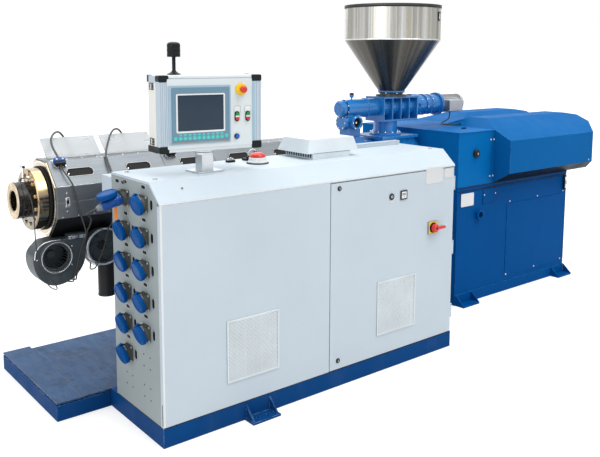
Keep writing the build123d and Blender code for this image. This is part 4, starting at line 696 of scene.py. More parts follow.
def sockets():
    """Flanged sockets with sprung blue lids, as a rack of loads for the heater zones."""
    bases, lids = Kit(), Kit()
    for y, z in SOCKETS:
        socket_base(bases, y, z)
        if (y, z) == OPEN_SOCKET:
            continue
        lids.at = Matrix.Translation((SOCKET_FACE, y, z)) @ Matrix.Rotation(-LID_TILT, 4, "Y")
        lids.turned((-0.3, 0, 0), LEFT, [(0, 47), (2, 50.4), *LID_TOP], "socket_plastic", 56)
        lids.ribs((0, 0, 0), RIGHT, (-17.7, -2.7), 44, LID_RIB, "socket_plastic", 0.94)
        lids.rod((-2, -8, 51), (-2, 8, 51), 8, "socket_plastic", 20)
        lids.box((-14, -0.5), (-8, 8), (44, 56), "socket_plastic")
        lids.bent([(8, -12, 44), (4, -22, 38), (3, -34, 27)], 1.6, "bare_steel", 8)
    bases.make("socket_rack", bevel=0.6, slot="dark_plastic", replaces=["socket_bases"])

    # The open lid stands on the plug
    out = Vector((-sin(LID_TILT), 0, cos(LID_TILT)))
    back = Vector((-cos(LID_TILT), 0, -sin(LID_TILT)))
    opening = Vector((SOCKET_FACE, *OPEN_SOCKET))
    middle = opening + out * 33 + back * 60
    lids.at = STILL
    lids.turned(middle, out, [(0, 42), (1.5, 44), (1.5, 47), (0, 49), (3, 50.4), *LID_TOP],
                "socket_plastic", 56)
    lids.ribs(middle, out, (3, 17), 44, LID_RIB, "socket_plastic")
    lids.make("socket_covers", bevel=0.7, slot="socket_plastic", replaces=["socket_lids"])

    # Plug: ribbed body, waist and a cable gland with a nut
    plug = Kit()
    start = opening + back * 0.3
    plug.turned(start, back, [(0, 29), (12, 29), (14, 31.5), (30, 31.5), (32, 29), (58, 27.5),
                              (62, 26), (96, 23.5), (104, 22), (106, 20)], "plug_blue", 44)
    for k in range(9):
        plug.ring(start + back * (64 + k * 4.4), back, 20, 26.4 - k * 0.3, 2, "plug_blue", 44)
    plug.turned(start + back * 106, back, [(0, 17), (9, 17), (10, 15), (20, 14), (25, 11), (26, 6)],
                "gland_grey", 12)
    plug.ring(start + back * 108, back, 12, 18.2, 7, "gland_grey", 6)
    plug.make("plug_and_gland", bevel=0.7, slot="socket_plastic", replaces=["power_plug"])

    # Slots and bare fixing holes punched in the end panel, as black patches of painted shade with bare
    # rims round the slots, and a tie-on tag
    holes = Kit()
    slots = [(y + 5, z + 80, 42, 17) for y, z in SOCKETS]
    slots += [(y - 74, z + 4, 25, 48) if y == -860 else (y - 72, z + 9, 25, 48) for y, z in SOCKETS
              if (y, z) != OPEN_SOCKET]
    for y, z, long, wide in slots + [(-640, 1253, 42, 17), (-572, 1253, 42, 17)]:
        inner = slot_outline(y, z, long, wide)
        holes.prism(inner, "x", (-0.5, 0.1), "seam_dark")
        holes.rim(slot_outline(y, z, long + 4, wide + 4), inner, "x", (-0.9, 0.1), "panel_aluminium")
    for y, z in ((-854, 388), (-854, 229), (-660, 231)):
        for sy, sz in CORNERS:
            holes.turned((0.1, y + sy * 33, z + sz * 30), LEFT, [(0, 4.5), (0.6, 4.3)], "seam_dark", 14)
    holes.bent([(-20, -640, 1150), (-40, -652, 1140), (-52, -663, 1136)], 1, "bare_steel", 6)
    holes.prism([(-682, 1132), (-676, 1138), (-655, 1138), (-649, 1132), (-649, 1075),
                 (-682, 1075)], "x", (-55.5, -54.5), "tag_orange")
    holes.make("end_panel_slots", bevel=0)


sockets()

PANEL = Matrix.Translation((390, -775, 0)) @ Matrix.Rotation(radians(-7), 4, "Z")


def half_slot(x, z, wide, way):
    """The rounded end of a slot, closed by a straight line."""
    arc = [pi * k / 10 for k in range(11)]
    return [(x + wide / 2 * cos(a), z + way * wide * 0.72 * sin(a)) for a in arc]


def panel_housing():
    """Housing of grooved profiles with black corners, hinges, and vents at the back."""
    kit = Kit(PANEL)
    kit.box((-277, 277), (-70, 50), (1414, 1783), "cream_paint")
    kit.box((-279, 279), (-70, 51.5), (1751, 1785), "profile_grey")
    for low, high in ((-281, -240), (225, 281)):
        line = [(low, -62), (low, -97), (low + 3, -100)]
        for share in (0.25, 0.5, 0.78):
            g = low + (high - low) * share
            line += [(g - 1.2, -100), (g - 1.2, -97.5), (g + 1.2, -97.5), (g + 1.2, -100)]
        kit.prism(line + [(high, -100), (high, -62)], "z", (1440, 1756), "profile_grey")
    kit.box((225.5, 243), (-101, -99), (1446, 1754), "bezel_light")
    kit.prism([(-62, 1787), (-96, 1787), (-100, 1783), (-100, 1772), (-96.5, 1772), (-96.5, 1768),
               (-100, 1768), (-100, 1754), (-62, 1754)], "x", (-232, 226), "panel_white")
    kit.box((-232, 226), (-97, -94), (1768, 1772), "grey_plastic")
    kit.prism([(-62, 1410), (-96, 1410), (-100, 1414), (-100, 1431), (-62, 1431)], "x",
              (-234, 227), "panel_white")
    kit.plate(-7.5, 1598.5, 463, 343, 3, (-103, -92), "panel_white")
    for low, high, bottom, top in ((-281, -229, 1754, 1787), (223, 281, 1754, 1787),
                                   (224, 281, 1407, 1446), (-281, -231, 1407, 1442)):
        middle = ((low + high) / 2, (bottom + top) / 2)
        kit.plate(*middle, high - low, top - bottom, 8, (-101.5, -58), "rubber_black")
        kit.plate(*middle, high - low - 14, top - bottom - 12, 4, (-103, -101.5), "rubber_black")
    for side in SIDES:
        kit.box((side * 276, side * 281), (-60, 52), (1407, 1438), "rubber_black")
        kit.box((side * 262, side * 281), (36, 52), (1754, 1787), "rubber_black")
        for z, near, far in ((1732, -26, 26), (1460, -24, 30)):
            kit.box((side * 277, side * 280), (near, far), (z - 17, z + 17), "rubber_black")
            pin = (side * 280, (near + far) / 2)
            kit.rod((*pin, z - 15), (*pin, z + 15), 4, "bare_steel", 16)
            kit.screws(side * 280, (near + 9, far - 9), (z + 8, z - 8), (side, 0, 0), 3.2, "bare_steel")
    kit.plate(0, 1598, 480, 320, 6, (49, 52), "panel_white")
    kit.screws((-225, 0, 225), 52, (1450, 1746), BACK, 4, "bare_steel")
    # Vents at the back drawn as black slot patches: painted shade of their openings.
    for z in range(1500, 1597, 12):
        kit.prism(slot_outline(-120, z, 90, 5), "y", (51.6, 52.3), "seam_dark")
    kit.turned((0, 0, 1393), UP, [(0, 20.4), (0, 46), (2, 48), (17.5, 48), (17.5, 20.4)],
               "panel_aluminium", 48, loop=True)
    kit.make("panel_enclosure", "operator_panel", 1.0, "panel_aluminium", ["panel_housing"])


def operator_panel():
    """The panel's housing, its screen with keys, buttons, stop and beacon."""
    panel_housing()

    kit = Kit(PANEL)
    kit.plate(-67, 1593, 335, 288, 4, (-107.5, -103.3), "bezel_light")
    kit.plate(-63, 1595, 311, 264, 5, (-110.3, -107.5), "bezel_blue")
    kit.box((-222, 92), (-109.3, -107.4), (1454, 1461), "grey_plastic")
    kit.rim(round_box(-64.5, 1601, 263, 192, 7), round_box(-64.5, 1602, 247, 176, 3), "y",
            (-111.3, -110), "white_plastic")
    kit.plate(-64.5, 1602, 247, 176, 2, (-110.8, -110), "screen_glass")
    for k in range(10):
        x = -175 + k * 24.9
        kit.plate(x, 1478, 18, 18, 7, (-111.3, -110.2), "key_teal")
        kit.plate(x, 1495.5, 13, 9, 1.5, (-110.9, -110.2), "key_teal")
        kit.plate(x, 1478, 9, 1.6, 0.7, (-111.4, -111.2), "bezel_light")
    for x, z in ((-201, 1478), (75, 1482)):
        kit.prism(slot_outline(x, z, 19, 19), "y", (-111.3, -110.2), "key_teal")
    kit.make("screen_and_keys", "operator_panel", 0.5, "dark_plastic", ["screen_unit"])

    kit = Kit(PANEL)
    for x in (137, 198):
        kit.prism(slot_outline(x, 1576, 26, 52), "y", (-108.5, -103.3), "rubber_black")
        kit.prism(half_slot(x, 1582, 21, 1), "y", (-113.5, -108), "signal_green")
        kit.box((x - 10.5, x + 10.5), (-112, -108), (1571.5, 1580.5), "white_plastic")
        kit.prism(half_slot(x, 1570, 21, -1), "y", (-115.3, -108), "signal_red")
        kit.rim(round_box(x + 2, 1613, 37, 32, 4), round_box(x + 2, 1613, 34, 29, 3), "y",
                (-103.9, -102.9), "grey_plastic")
        kit.plate(x + 2, 1613, 34, 29, 3, (-103.5, -102.9), "white_plastic")
    kit.turned((135, -103.3, 1474.5), OUT, [(0, 14), (6, 14), (8, 12.5)], "rubber_black")
    kit.turned((135, -111, 1474.5), OUT, [(0, 10), (3, 10), (4.3, 8)], "button_blue")
    kit.turned((160, -103.3, 1713.5), OUT, [(0, 11.4), (0, 31), (8, 31), (11, 29.5), (14, 24),
                                            (14, 11.4)], "signal_yellow", 48, loop=True)
    kit.make("panel_buttons", "operator_panel", 0.5, "signal_yellow", ["push_buttons"])

    kit = Kit(PANEL)
    kit.turned((160, -113.3, 1713.5), OUT, [(0, 11), (18, 11), (18, 14.5), (20, 17.6), (24, 18),
                                            (30, 17), (34, 13), (36, 7)], "signal_red", 40)
    kit.make("stop_mushroom", "emergency_stop", 0.4, "signal_red", ["emergency_stop"])

    kit = Kit(PANEL)
    kit.turned((-152, 16, 1787.3), UP, [
        (0, 34), (3, 34), (5, 31), (10, 20), (15, 13), (18, 11.5), (22, 9), (86, 9), (88, 12),
        (88, 31), (90, 33), (108, 33), (109, 32), (111, 32), (112, 33), (130, 33), (131, 32),
        (133, 32), (134, 33), (148, 33), (155, 30), (160, 22), (162, 10)], "rubber_black", 44)
    kit.make("beacon_column", "operator_panel", 0.5, "dark_plastic", ["beacon"])


def slope_frame(x):
    """A frame on the upper front slope of the covers: -y points out, z up the slope."""
    return Matrix.Translation((x, -148.5, 1248.5)) @ Matrix.Rotation(radians(-45), 4, "X")


SLOT = [(-76, 0), (-58, 25.5), (62, 25.5), (76, 12), (76, -12), (64, -25.5), (-64, -25.5), (-76, -10)]
# Toggle clip: height, width, length, corner, how far it stands out, finish
CLIP = ((1120, 26, 15, 5, 4, "chrome"), (1080, 26, 15, 5, 4, "chrome"), (1120, 20, 11, 4, 8, "chrome"),
        (1084, 22, 8, 3, 7, "chrome"), (1102, 20, 13, 3, 5, "rubber_black"))


def cover_fittings():
    """Handle slots with near-black blocks behind them as painted shade of the hollows, toggle clips,
    screws and the two connectors on the covers.
    """
    kit = Kit()
    for x in (-20, 330, 680, 1030, 1380):
        kit.at = slope_frame(x)
        kit.rim([(a * 1.045, b * 1.12) for a, b in SLOT], SLOT, "y", (-1.2, -0.2), "cover_steel")
        # Near-black block behind the slot: painted shade of the hollow.
        kit.prism([(a * 0.97, b * 0.94) for a, b in SLOT], "y", (1.5, 13.5), "seam_dark")
        kit.turned((-64, 1.5, -8), OUT, [(0, 5), (2, 4), (2.6, 0)], "chrome", 16)
    kit.at = STILL
    for start, end in ((-176, 147), (150, 497), (500, 847), (850, 1197), (1200, 1547)):
        x = start + 55
        row = [start + 30 + (end - start - 60) * k / 3 for k in range(4)]
        for side in SIDES:
            face = side * 216.4
            for z, wide, high, r, proud, finish in CLIP:
                kit.plate(x, z, wide, high, r, (face, face + side * proud), finish)
            for wire in (x - 9, x + 9):
                kit.rod((wire, face + side * 6, 1084), (wire, face + side * 6, 1120), 1.8, "chrome", 10)
            kit.screws(x, side * 210.2, (1150, 1050), (0, side, 0), 4)
            kit.screws(row, side * 210.2, 1020, (0, side, 0), 3.5)
        kit.screws(row, (-66, 66), 1310.2, UP, 5.5)
        kit.box((end - 12, end - 0.5), (-86, 86), (1310.1, 1311.6), "chrome")
        kit.box((start + 6, end - 6), (-210.9, -210.1), (1183, 1187), "chrome")
    kit.make("cover_clips", bevel=0.5)

    kit = Kit()
    for x in (-118, 558):
        kit.at = slope_frame(x)
        kit.box((-31, 31), (-3, -0.4), (38, 94), "chrome")
        for side in SIDES:
            kit.box((side * 26, side * 31), (-13, -0.4), (36, 46), "chrome")
            kit.screw((side * 24, -3, 90), OUT, 3)
        kit.box((-29, 29), (-31.5, -3), (46, 62), "rubber_black")
        kit.plate(0, 75.5, 60, 27, 7, (-28, -3), "plug_blue")
        kit.plate(0, 75.5, 52, 20, 6, (-32.3, -28), "plug_blue")
        kit.box((-5, 5), (-33, -28), (63, 88), "plug_blue")
        kit.screws((-17, 17), -32.3, 75, OUT, 5.5, "white_plastic")
        kit.turned((0, -16.3, 45.8), DOWN, [(-2, 11), (0.3, 10)], "rubber_black", 20)
        kit.turned((0, -16.3, 88), UP, [(0, 11), (1.3, 9)], "rubber_black", 20)
    kit.make("connector_blocks", bevel=1.2, slot="socket_plastic", replaces=["heater_connectors"])


BARREL_Z = 1100


def die_end():
    """Bolts and rings on the barrel's end, and the T-handled locking pin."""
    kit = Kit()
    kit.turned((-198.2, 0, BARREL_Z), RIGHT, [(0, 141), (0, 174), (3, 177), (11, 177), (13.5, 174),
                                              (13.5, 141)], "seam_dark", 72, loop=True)
    kit.bolts((-262.1, 0, BARREL_Z), LEFT, 12, 134, 10, "warm_steel", "socket")
    for c, s in around(8, 0.5):
        kit.screw((-300, 96.4 * c, BARREL_Z + 96.4 * s), (0, c, s), 6, "dark_iron", "socket")
    kit.ring((-336, 0, BARREL_Z), RIGHT, 56, 61.7, 60, "warm_steel", 56)
    for x in (-312, -286):
        kit.turned((x, 0, BARREL_Z), RIGHT, [(0, 96.5), (0, 98.6), (1.5, 99.4), (4.5, 99.4),
                                             (6, 98.6), (6, 96.5)], "die_black", 72, loop=True)
    kit.turned((-184.5, 0, BARREL_Z), RIGHT, [(0, 196), (-0.6, 198), (-0.6, 203.6), (8, 203.6),
                                              (8, 196)], "chrome", 72, loop=True)
    kit.turned((-262.4, -52, 1228), LEFT, [(0, 9), (6, 9), (7, 7.6), (16, 7.3), (17.4, 6), (17.4, 3.4)],
               "chrome", 6)
    kit.make("die_fittings", bevel=0.5)

    kit = Kit()
    kit.turned((-279, 0, 1196.6), UP, [(0, 11), (6, 11), (8, 7), (60, 6), (80, 6), (84, 9), (91, 9)],
               "chrome", 24)
    kit.turned((-279, -22, 1281), BACK, [(0, 6), (2, 7), (42, 7), (44, 6)], "dark_iron", 20)
    kit.make("pin_handle", bevel=0.4, slot="bare_steel", replaces=["locking_pin"])


def blower_fittings():
    """Inlet rings, bracket strip, fixings and pale edges on the cooling blowers."""
    kit = Kit()
    kit.turned((-171, -160.2, 794), OUT, [
        (0, 77), (0, 96), (2, 97), (5, 95), (7, 90), (9, 86), (9, 83), (6, 79), (2, 77)],
        "blower_grey", 64, loop=True)
    kit.turned((-171, -167.5, 794), OUT, [(0, 80), (0, 86.5), (2, 85.5), (2, 81)], "chrome", 64,
               loop=True)
    for turn in range(35, 324, 72):
        a = radians(turn)
        kit.screw((-171 + 106 * cos(a), -160.1, 794 + 88 * sin(a)), OUT, 4.5)
    kit.box((-103, -5), (-168, -160.3), (884, 902), "chrome")
    kit.screws((-90, -54, -18), -168, 893, OUT, 4, "dark_iron")
    kit.bent([(-292, -166, 800), (-286, -166, 838), (-266, -166, 866), (-236, -166, 884),
              (-200, -166, 890), (-150, -166, 890)], 3.4, "chrome")
    zones = (102, 452, 802, 1152)
    for x in zones:
        kit.turned((x, -171.5, 814), OUT, [
            (-9, 104.4), (-9, 108.5), (-2, 109), (2, 107), (3, 103), (3, 97), (-1, 95.2), (-3, 95.2),
            (-3, 104.4)], "chrome", 72, loop=True)
        kit.ring((x, -122.5, 804), BACK, 106, 110, 5, "chrome", 64)
        kit.turned((x, -121, 814), OUT, [(0, 30), (14, 26), (18, 12)], "dark_iron")
        for k in range(7):
            spoke = [(r, y, 2 * pi * k / 7 + bend) for r, y, bend in (
                (20, -130, 0), (60, -136, 0.25), (94, -140, 0.6))]
            kit.bent([(x + r * cos(a), y, 814 + r * sin(a)) for r, y, a in spoke], 4,
                     "blower_grey", 8)
    kit.ring((156, -60, 500), UP, 48.4, 50, 6, "dark_iron", 48)
    for x in (-171, *zones):
        for c, s in around(14):
            if 62 * s <= 46:
                kit.bent([(x + 62 * c, y, 794 + 62 * s) for y in (-30, 66)], 2.6, "dark_iron", 6)
    kit.make("blower_trim", bevel=0.4)


CHUTE_TOP, FEED_Z, VENT_Z = 1305, 1497, 1396
HOPPER_MM = HOPPER_X / MM


def feeder_fittings():
    """Bolts, hopper seams, toggle latch, collar and the feeder motor's fins."""
    kit = Kit()
    kit.bolts((2487, 0, CHUTE_TOP), UP, 12, 107, 8)
    kit.bolts((HOPPER_MM, 0, 1598.2), UP, 8, 104, 7)
    kit.bolts((2054.8, 0, FEED_Z), LEFT, 8, 58, 6)
    kit.bolts((2002.8, 0, FEED_Z), LEFT, 8, 42, 5.5, "feeder_paint")
    kit.bolts((3050.2, 0, FEED_Z), RIGHT, 8, 80, 5.5)
    kit.turned((HOPPER_MM, 0, 1606), UP, [(0, 93), (0, 104), (10, 104), (14, 100), (30, 101), (33, 99),
                                          (33, 94)], "feeder_paint", 64, loop=True)
    kit.turned((2133, 0, 1588), UP, [(0, 13), (4, 15), (14, 17.5), (20, 15), (23.5, 8), (24, 0)],
               "rubber_black", 24)
    # Hopper: rolled edges, weld seams, toggle latches
    kit.turned((HOPPER_MM, 0, 2232), UP, [(0, 361.2), (0, 364.5), (4, 366), (8, 364.5), (8, 361.2)],
               "rubber_black", 128, loop=True)
    kit.turned((HOPPER_MM, 0, 1996), UP, [(0, 359.5), (1, 362.5), (5, 363.6), (9, 362.5),
                                          (10, 360.8)], "chrome", 128, loop=True)
    for a in (-128, -35, 60, 150):
        x, y = HOPPER_MM + 361.4 * cos(radians(a)), 361.4 * sin(radians(a))
        kit.bent([(x, y, 2006), (x, y, 2231)], 1.5, "bare_steel", 8)
    for a in (24, 204):
        kit.at = Matrix.Translation((HOPPER_MM, 0, 0)) @ Matrix.Rotation(radians(a), 4, "Z")
        kit.plate(0, 2172, 34, 66, 4, (-366, -361), "rubber_black")
        kit.plate(0, 2172, 20, 44, 5, (-372, -366), "chrome")
        for side in SIDES:
            kit.bent([(side * 8, -369, 2172), (side * 8, -373, 2205), (side * 6, -370, 2228)], 2,
                     "chrome", 8)
        kit.turned((-9, -371, 2196), RIGHT, [(0, 5), (18, 5)], "rubber_black", 16)
    kit.at = STILL
    # Motor: fins, end cap, terminal box lid
    kit.ribs((0, 0, FEED_Z), RIGHT, (3086, 3296), 30, ((66, -1.4), (74, -0.8), (74, 0.8), (66, 1.4)),
             "motor_grey")
    kit.turned((3300, 0, FEED_Z), RIGHT, [(0, 68.2), (0, 75), (26, 75), (33, 68), (35, 60), (35, 20)],
               "motor_grey", 48, solid=False)
    for r in (26, 36, 46, 56):
        kit.ring((3334.8, 0, FEED_Z), RIGHT, r, r + 3, 1, "seam_dark", 40)
    kit.box((3102, 3263), (-116, -112.2), (1441, 1525), "motor_grey")
    kit.screws((3110, 3255), -116, (1449, 1517), OUT, 4)
    kit.turned((3240, 0, 1416.5), UP, [(0, 4.5), (0, 10.5), (8, 12), (22, 12), (22, 4.5)],
               "rubber_black", 12, loop=True)
    for x, r in ((2753, 77), (2833, 79), (2886, 85.5), (2953, 82.5)):
        for c, s in around(8, 0.25):
            kit.screw((x, r * c, FEED_Z + r * s), (0, c, s), 4.4)
    # Vent stack port rings
    kit.turned((2120, -80.2, VENT_Z), OUT, [(0, 36.5), (0, 52), (3, 52), (4, 50), (4, 39),
                                            (3, 36.5)], "feeder_paint", 48, loop=True)
    # Dark disc inside the port: painted shade of its hollow.
    kit.turned((2120, -60, VENT_Z), OUT, [(0, 35.6), (1, 35.6)], "seam_dark", 40)
    kit.turned((2120, -62, VENT_Z), OUT, [(0, 8), (6, 7), (7, 0)], "chrome", 20)
    kit.bolts((2120, -84, VENT_Z), OUT, 6, 45, 4, shift=0)
    kit.bolts((2027.8, 0, VENT_Z), LEFT, 6, 45, 4, shift=0)
    kit.make("feeder_trim", bevel=0.4)


STAND_Y = -520.2


def drive_fittings():
    """Slots, lock, screws, hatch, latches and blank plate on the drive's housings."""
    kit = Kit()
    kit.prism(slot_outline(3020, -329, 44, 26), "z", (1319.5, 1331), "rubber_black")
    kit.rim(slot_outline(3020, -329, 54, 36), slot_outline(3020, -329, 45, 27), "z",
            (1319.5, 1322), "hood_paint")
    kit.turned((2938, -520.3, 1151), OUT, [(0, 22.4), (0, 32), (9, 32), (15.5, 26), (15.5, 0),
                                           (14.2, 0), (14.2, 22.4)], "rubber_black", 40, loop=True)
    kit.turned((2938, -535.8, 1151), OUT, [(0, 13), (3, 12)], "dark_iron", 6)
    kit.box((2936, 2940), (-540, -538.6), (1142, 1160), "chrome")
    kit.screws((3112, 3150), STAND_Y, (962, 1246), OUT, 7, "white_plastic")
    kit.box((3126, 3127.2), (-520.7, -519.9), (912, 1308), "seam_dark")
    # Dark strips painted as the shade under the stand's ledge and in the upright groove near its far end
    for x, z in (((2742, 4189), (897, 903)), ((2742, 4150), (873, 877.5)), ((4180, 4183), (130, 873))):
        kit.box(x, (-520.6, -519.6), z, "seam_dark")
    # Hatch with two screws, and a bare rating plate
    kit.rim(round_box(3123, 812, 162, 120, 4), round_box(3123, 812, 159, 117, 3), "y",
            (-520.5, -519.6), "seam_dark")
    kit.screws((3056, 3194), STAND_Y, 820, OUT, 6, "white_plastic")
    kit.plate(2851, 806, 150, 100, 8, (-521.6, STAND_Y), "plate_metal")
    kit.screws((2785, 2917), -521.6, (765, 847), OUT, 3, "bare_steel")
    # Screws of the access panel
    kit.screws((3366, 3752, 4138), -519.5, 134, OUT, 7, "white_plastic")
    for x, z in ((3384, 733), (3762, 732), (4140, 734)):
        kit.screw((x, STAND_Y, z), OUT, 7, "white_plastic")
    # Latch at the far upper corner
    kit.box((4136, 4166), (-534, -519.8), (745, 866), "rubber_black")
    kit.plate(4151, 838, 24, 38, 6, (-540, -534), "chrome")
    kit.plate(4151, 775, 20, 34, 5, (-540, -534), "chrome")
    for x in (4143, 4159):
        kit.bent([(x, -539, 775), (x, -543, 806), (x, -539, 838)], 3, "chrome")
    # Round tube through the front
    kit.turned((2990, STAND_Y, 675), OUT, [(0, 27), (0, 40), (4, 40), (14, 35), (16, 33), (16, 27)],
               "machine_paint", 44, loop=True)
    # Dark disc inside the tube: painted shade of its hollow.
    kit.turned((2990, -512, 675), OUT, [(0, 25.6), (1, 25.6)], "seam_dark", 40)
    # Hood screws
    kit.screw((4270, -669.2, 1010), OUT, 6)
    kit.screws((3300, 3700, 4100), 520.2, 1150, BACK, 7)
    kit.make("drive_trim", bevel=0.4)


LAMP_X, LAMP_Y = 774, -710


def roof_fittings():
    """Lamp, glands and the fan hood's bolts on the cabinet's roof."""
    kit = Kit()
    kit.turned((LAMP_X, LAMP_Y, 1290.3), UP, [(0, 62), (5, 62), (6, 58)], "rubber_black", 56)
    kit.turned((LAMP_X, LAMP_Y, 1296), UP, [(0, 55), (6, 55), (10, 50), (26, 47), (29, 46)],
               "white_plastic", 56)
    for c, s in around(24):
        kit.bent([(LAMP_X + 50 * c, LAMP_Y + 50 * s, 1306),
                  (LAMP_X + 47.4 * c, LAMP_Y + 47.4 * s, 1322)], 1.4, "white_plastic", 6)
    kit.turned((LAMP_X, LAMP_Y, 1325), UP, [(0, 44), (4, 45), (10, 43), (17, 37), (23, 27),
                                            (26.6, 14), (27.3, 0)], "signal_red", 56)
    for r in (20, 29, 37):
        low = -0.013 * r * r
        kit.turned((LAMP_X, LAMP_Y, 1325), UP, [(low + 26.4, r), (low + 28, r), (low + 28, r + 1.6),
                                                (low + 26.2, r + 1.6)], "signal_red", 56, loop=True)
    kit.make("lamp_with_dome", bevel=0.4, slot="signal_red", replaces=["signal_lamp"])

    kit = Kit()
    kit.turned((850, -580, 1305), UP, [(0, 20), (12, 20), (15, 15), (30, 14), (34, 8)],
               "rubber_black", 20)
    kit.turned((800, -580, 1304), UP, [(0, 12), (8, 12), (9, 7), (14, 7)], "rubber_black", 16)
    kit.bent([(800, -580, 1316), (798, -584, 1332), (806, -592, 1348), (824, -592, 1354),
              (842, -586, 1346), (849, -581, 1338)], 3.2, "white_plastic")
    for x in (660, 690):
        kit.rod((x, -586, 1302), (x, -586, 1312), 6, "chrome", 16)
    kit.screws((1180, 1352), -650, 1403.2, UP, 9)
    # Dark bars painted as the shade in the fan hood's grille openings.
    for y in range(-770, -549, 22):
        kit.box((1108.6, 1110.6), (y, y + 9), (1298, 1318), "seam_dark")
    for x, y, z, finish in (
            # Gland blocks
            ((770, 850), (-600, -560), (1290.4, 1304), "rubber_black"),
            ((652, 700), (-600, -572), (1290.4, 1302), "rubber_black"),
            # Dark strips painted as the shadow under the fan hood, and a light duct strip beyond it
            ((1118, 1394), (-785.5, -784.2), (1322, 1326), "seam_dark"),
            ((1110.5, 1111.8), (-780, -534), (1322, 1326), "seam_dark"),
            ((1500, 2060), (-560, -520), (1290.4, 1314), "cabinet_paint"),
            ((1500, 2060), (-562, -518), (1312, 1316), "cabinet_paint"),
            # Dark strips along the joint between plinth and cabinet: its painted shadow. White strips:
            # painted highlights on the fold at the slope's foot and on the front's rounded left edge
            ((2, 2096), (-1011, -1009), (98.5, 103.5), "seam_dark"),
            ((-0.9, 1), (-1008, -507), (98.5, 103.5), "seam_dark"),
            ((-0.4, 1052), (-1011, -1009.6), (1193, 1199), "white_plastic"),
            ((1060, 2098), (-1011, -1009.6), (1193, 1199), "white_plastic"),
            ((1.5, 12), (-1010.9, -1009.4), (106, 1192), "white_plastic")):
        kit.box(x, y, z, finish)
    kit.make("roof_trim", bevel=0.5)


operator_panel()
cover_fittings()
die_end()
blower_fittings()
feeder_fittings()
drive_fittings()
roof_fittings()


# Free leads: each follows its CAD route, in millimetres
LEADS = {
    "plug_lead": (8, "cable_black", 1.097, "limp", [
        (-155.1, -665, 1141.2), (-174.2, -665, 1135.4), (-187, -654, 1127.5),
        (-189, -632, 1117.5), (-176, -600, 1104), (-148, -556, 1086), (-116, -504, 1064),
        (-84, -434, 1033), (-56, -345, 987), (-38, -266, 940), (-36, -222, 884), (-46, -202, 836),
        (-57, -187, 784), (-63, -180, 738), (-75, -178, 702), (-84, -176, 672), (-82, -162, 646),
        (-74, -126, 632), (-87, -78, 626), (-112, -38, 624), (-142, -6, 632), (-161, 13, 654),
        (-169, 18, 684), (-169, 18, 715.7)]),
    "heater_lead": (8, "cable_black", 0.966, "medium", [
        (-118, -128.3, 1291.7), (-118, -142.4, 1277.6), (-114, -168, 1256), (-104, -204, 1228),
        (-90, -227, 1186), (-77, -226, 1130), (-65, -225, 1072), (-52, -227, 1012),
        (-34, -233, 952), (-24, -222, 892), (-34, -198, 842), (-45, -184, 792), (-50, -180, 742),
        (-62, -178, 704), (-70, -174, 674), (-64, -158, 652), (-60, -122, 642), (-76, -74, 635),
        (-98, -34, 636), (-124, -2, 644), (-143, 14, 664), (-151, 18, 690), (-151, 18, 715.7)]),
    "die_lead": (6, "cable_black", 0.992, "limp", [
        (-280.3, -52, 1228), (-301.5, -52, 1228), (-321, -62, 1224), (-325, -84, 1215),
        (-318, -112, 1199), (-309, -146, 1172), (-300, -174, 1132), (-296, -186, 1080),
        (-294, -189, 1022), (-292, -188, 962), (-291, -187, 904), (-286, -185, 846),
        (-268, -183, 790), (-246, -181, 736), (-218, -180, 688), (-190, -178, 650),
        (-174, -164, 622), (-170, -136, 608), (-172, -98, 602), (-176, -56, 604),
        (-180, -16, 620), (-185, 8, 650), (-187, 18, 684), (-187, 18, 715.7)]),
    "zone_lead": (8, "cable_black", 0.805, "medium", [
        (44, -440, 1119.7), (44, -440, 1090), (47, -424, 1048), (56, -388, 1010), (68, -342, 978),
        (82, -288, 952), (96, -236, 932), (106, -204, 900), (100, -196, 852), (84, -192, 804),
        (64, -191, 758), (44, -188, 718), (46, -156, 694), (54, -110, 678), (62, -62, 664),
        (74, -22, 658), (86, 2, 664), (94, 15, 680), (96, 18, 698), (96, 18, 715.7)]),
    "front_conduit": (12, "conduit_grey", 0.577, "stiff", [
        (-118, -96.7, 1323.3), (-118, -82.6, 1337.4), (-122, -60, 1358), (-124, -28, 1384),
        (-116, 10, 1410), (-94, 52, 1432), (-60, 96, 1446), (-22, 138, 1446), (14, 176, 1422),
        (48, 202, 1376), (68, 206, 1322), (76, 190, 1272), (76, 157.7, 1239.7)]),
    "second_conduit": (12, "conduit_grey", 0.937, "stiff", [
        (440, 157.7, 1239.7), (440, 190, 1272), (434, 206, 1322), (414, 200, 1372),
        (382, 172, 1414), (344, 132, 1440), (302, 96, 1446), (262, 54, 1430), (228, 10, 1402),
        (197, -32, 1370), (170, -70, 1336), (153, -112, 1310), (147, -154, 1272),
        (146, -196, 1232), (148, -240, 1196), (150, -288, 1182), (150, -338, 1184),
        (150, -386.4, 1184)]),
    "motor_lead": (9, "cable_black", 0.438, "medium", [
        (3240, 0, 1416.7), (3240, 0, 1396), (3229, -4, 1378), (3207, -11, 1364),
        (3176, -20, 1356), (3134, -34, 1351), (3090, -50, 1345), (3057, -64, 1341),
        (3040, -96, 1338), (3047, -131, 1337), (3075, -154, 1337), (3111, -158, 1339),
        (3146, -159, 1340), (3179.7, -159, 1340)]),
}


def make_leads():
    for name, (diameter, finish, length, stiffness, points) in LEADS.items():
        data = bpy.data.curves.new(name + "_line", "CURVE")
        data.dimensions = "3D"
        spline = data.splines.new("NURBS")
        spline.points.add(len(points) - 1)
        for point, place in zip(spline.points, points):
            point.co = (*(Vector(place) * MM), 1)
        spline.order_u = 3
        spline.use_endpoint_u = True
        spline.resolution_u = 6
        data.bevel_depth = diameter * MM / 2
        data.bevel_resolution = 4
        data.use_fill_caps = True
        data.materials.append(M[finish])
        lead = add_object(name + "_flex", data)
        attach(lead, "machine")
        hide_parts(name)


make_leads()

# Studio. The room that metal reflects, from below to above: (height, brightness)
ROOM = [(0.0, 0.55), (0.47, 0.6), (0.53, 0.46), (0.6, 0.75), (0.72, 1.15), (0.9, 1.0), (1.0, 0.8)]
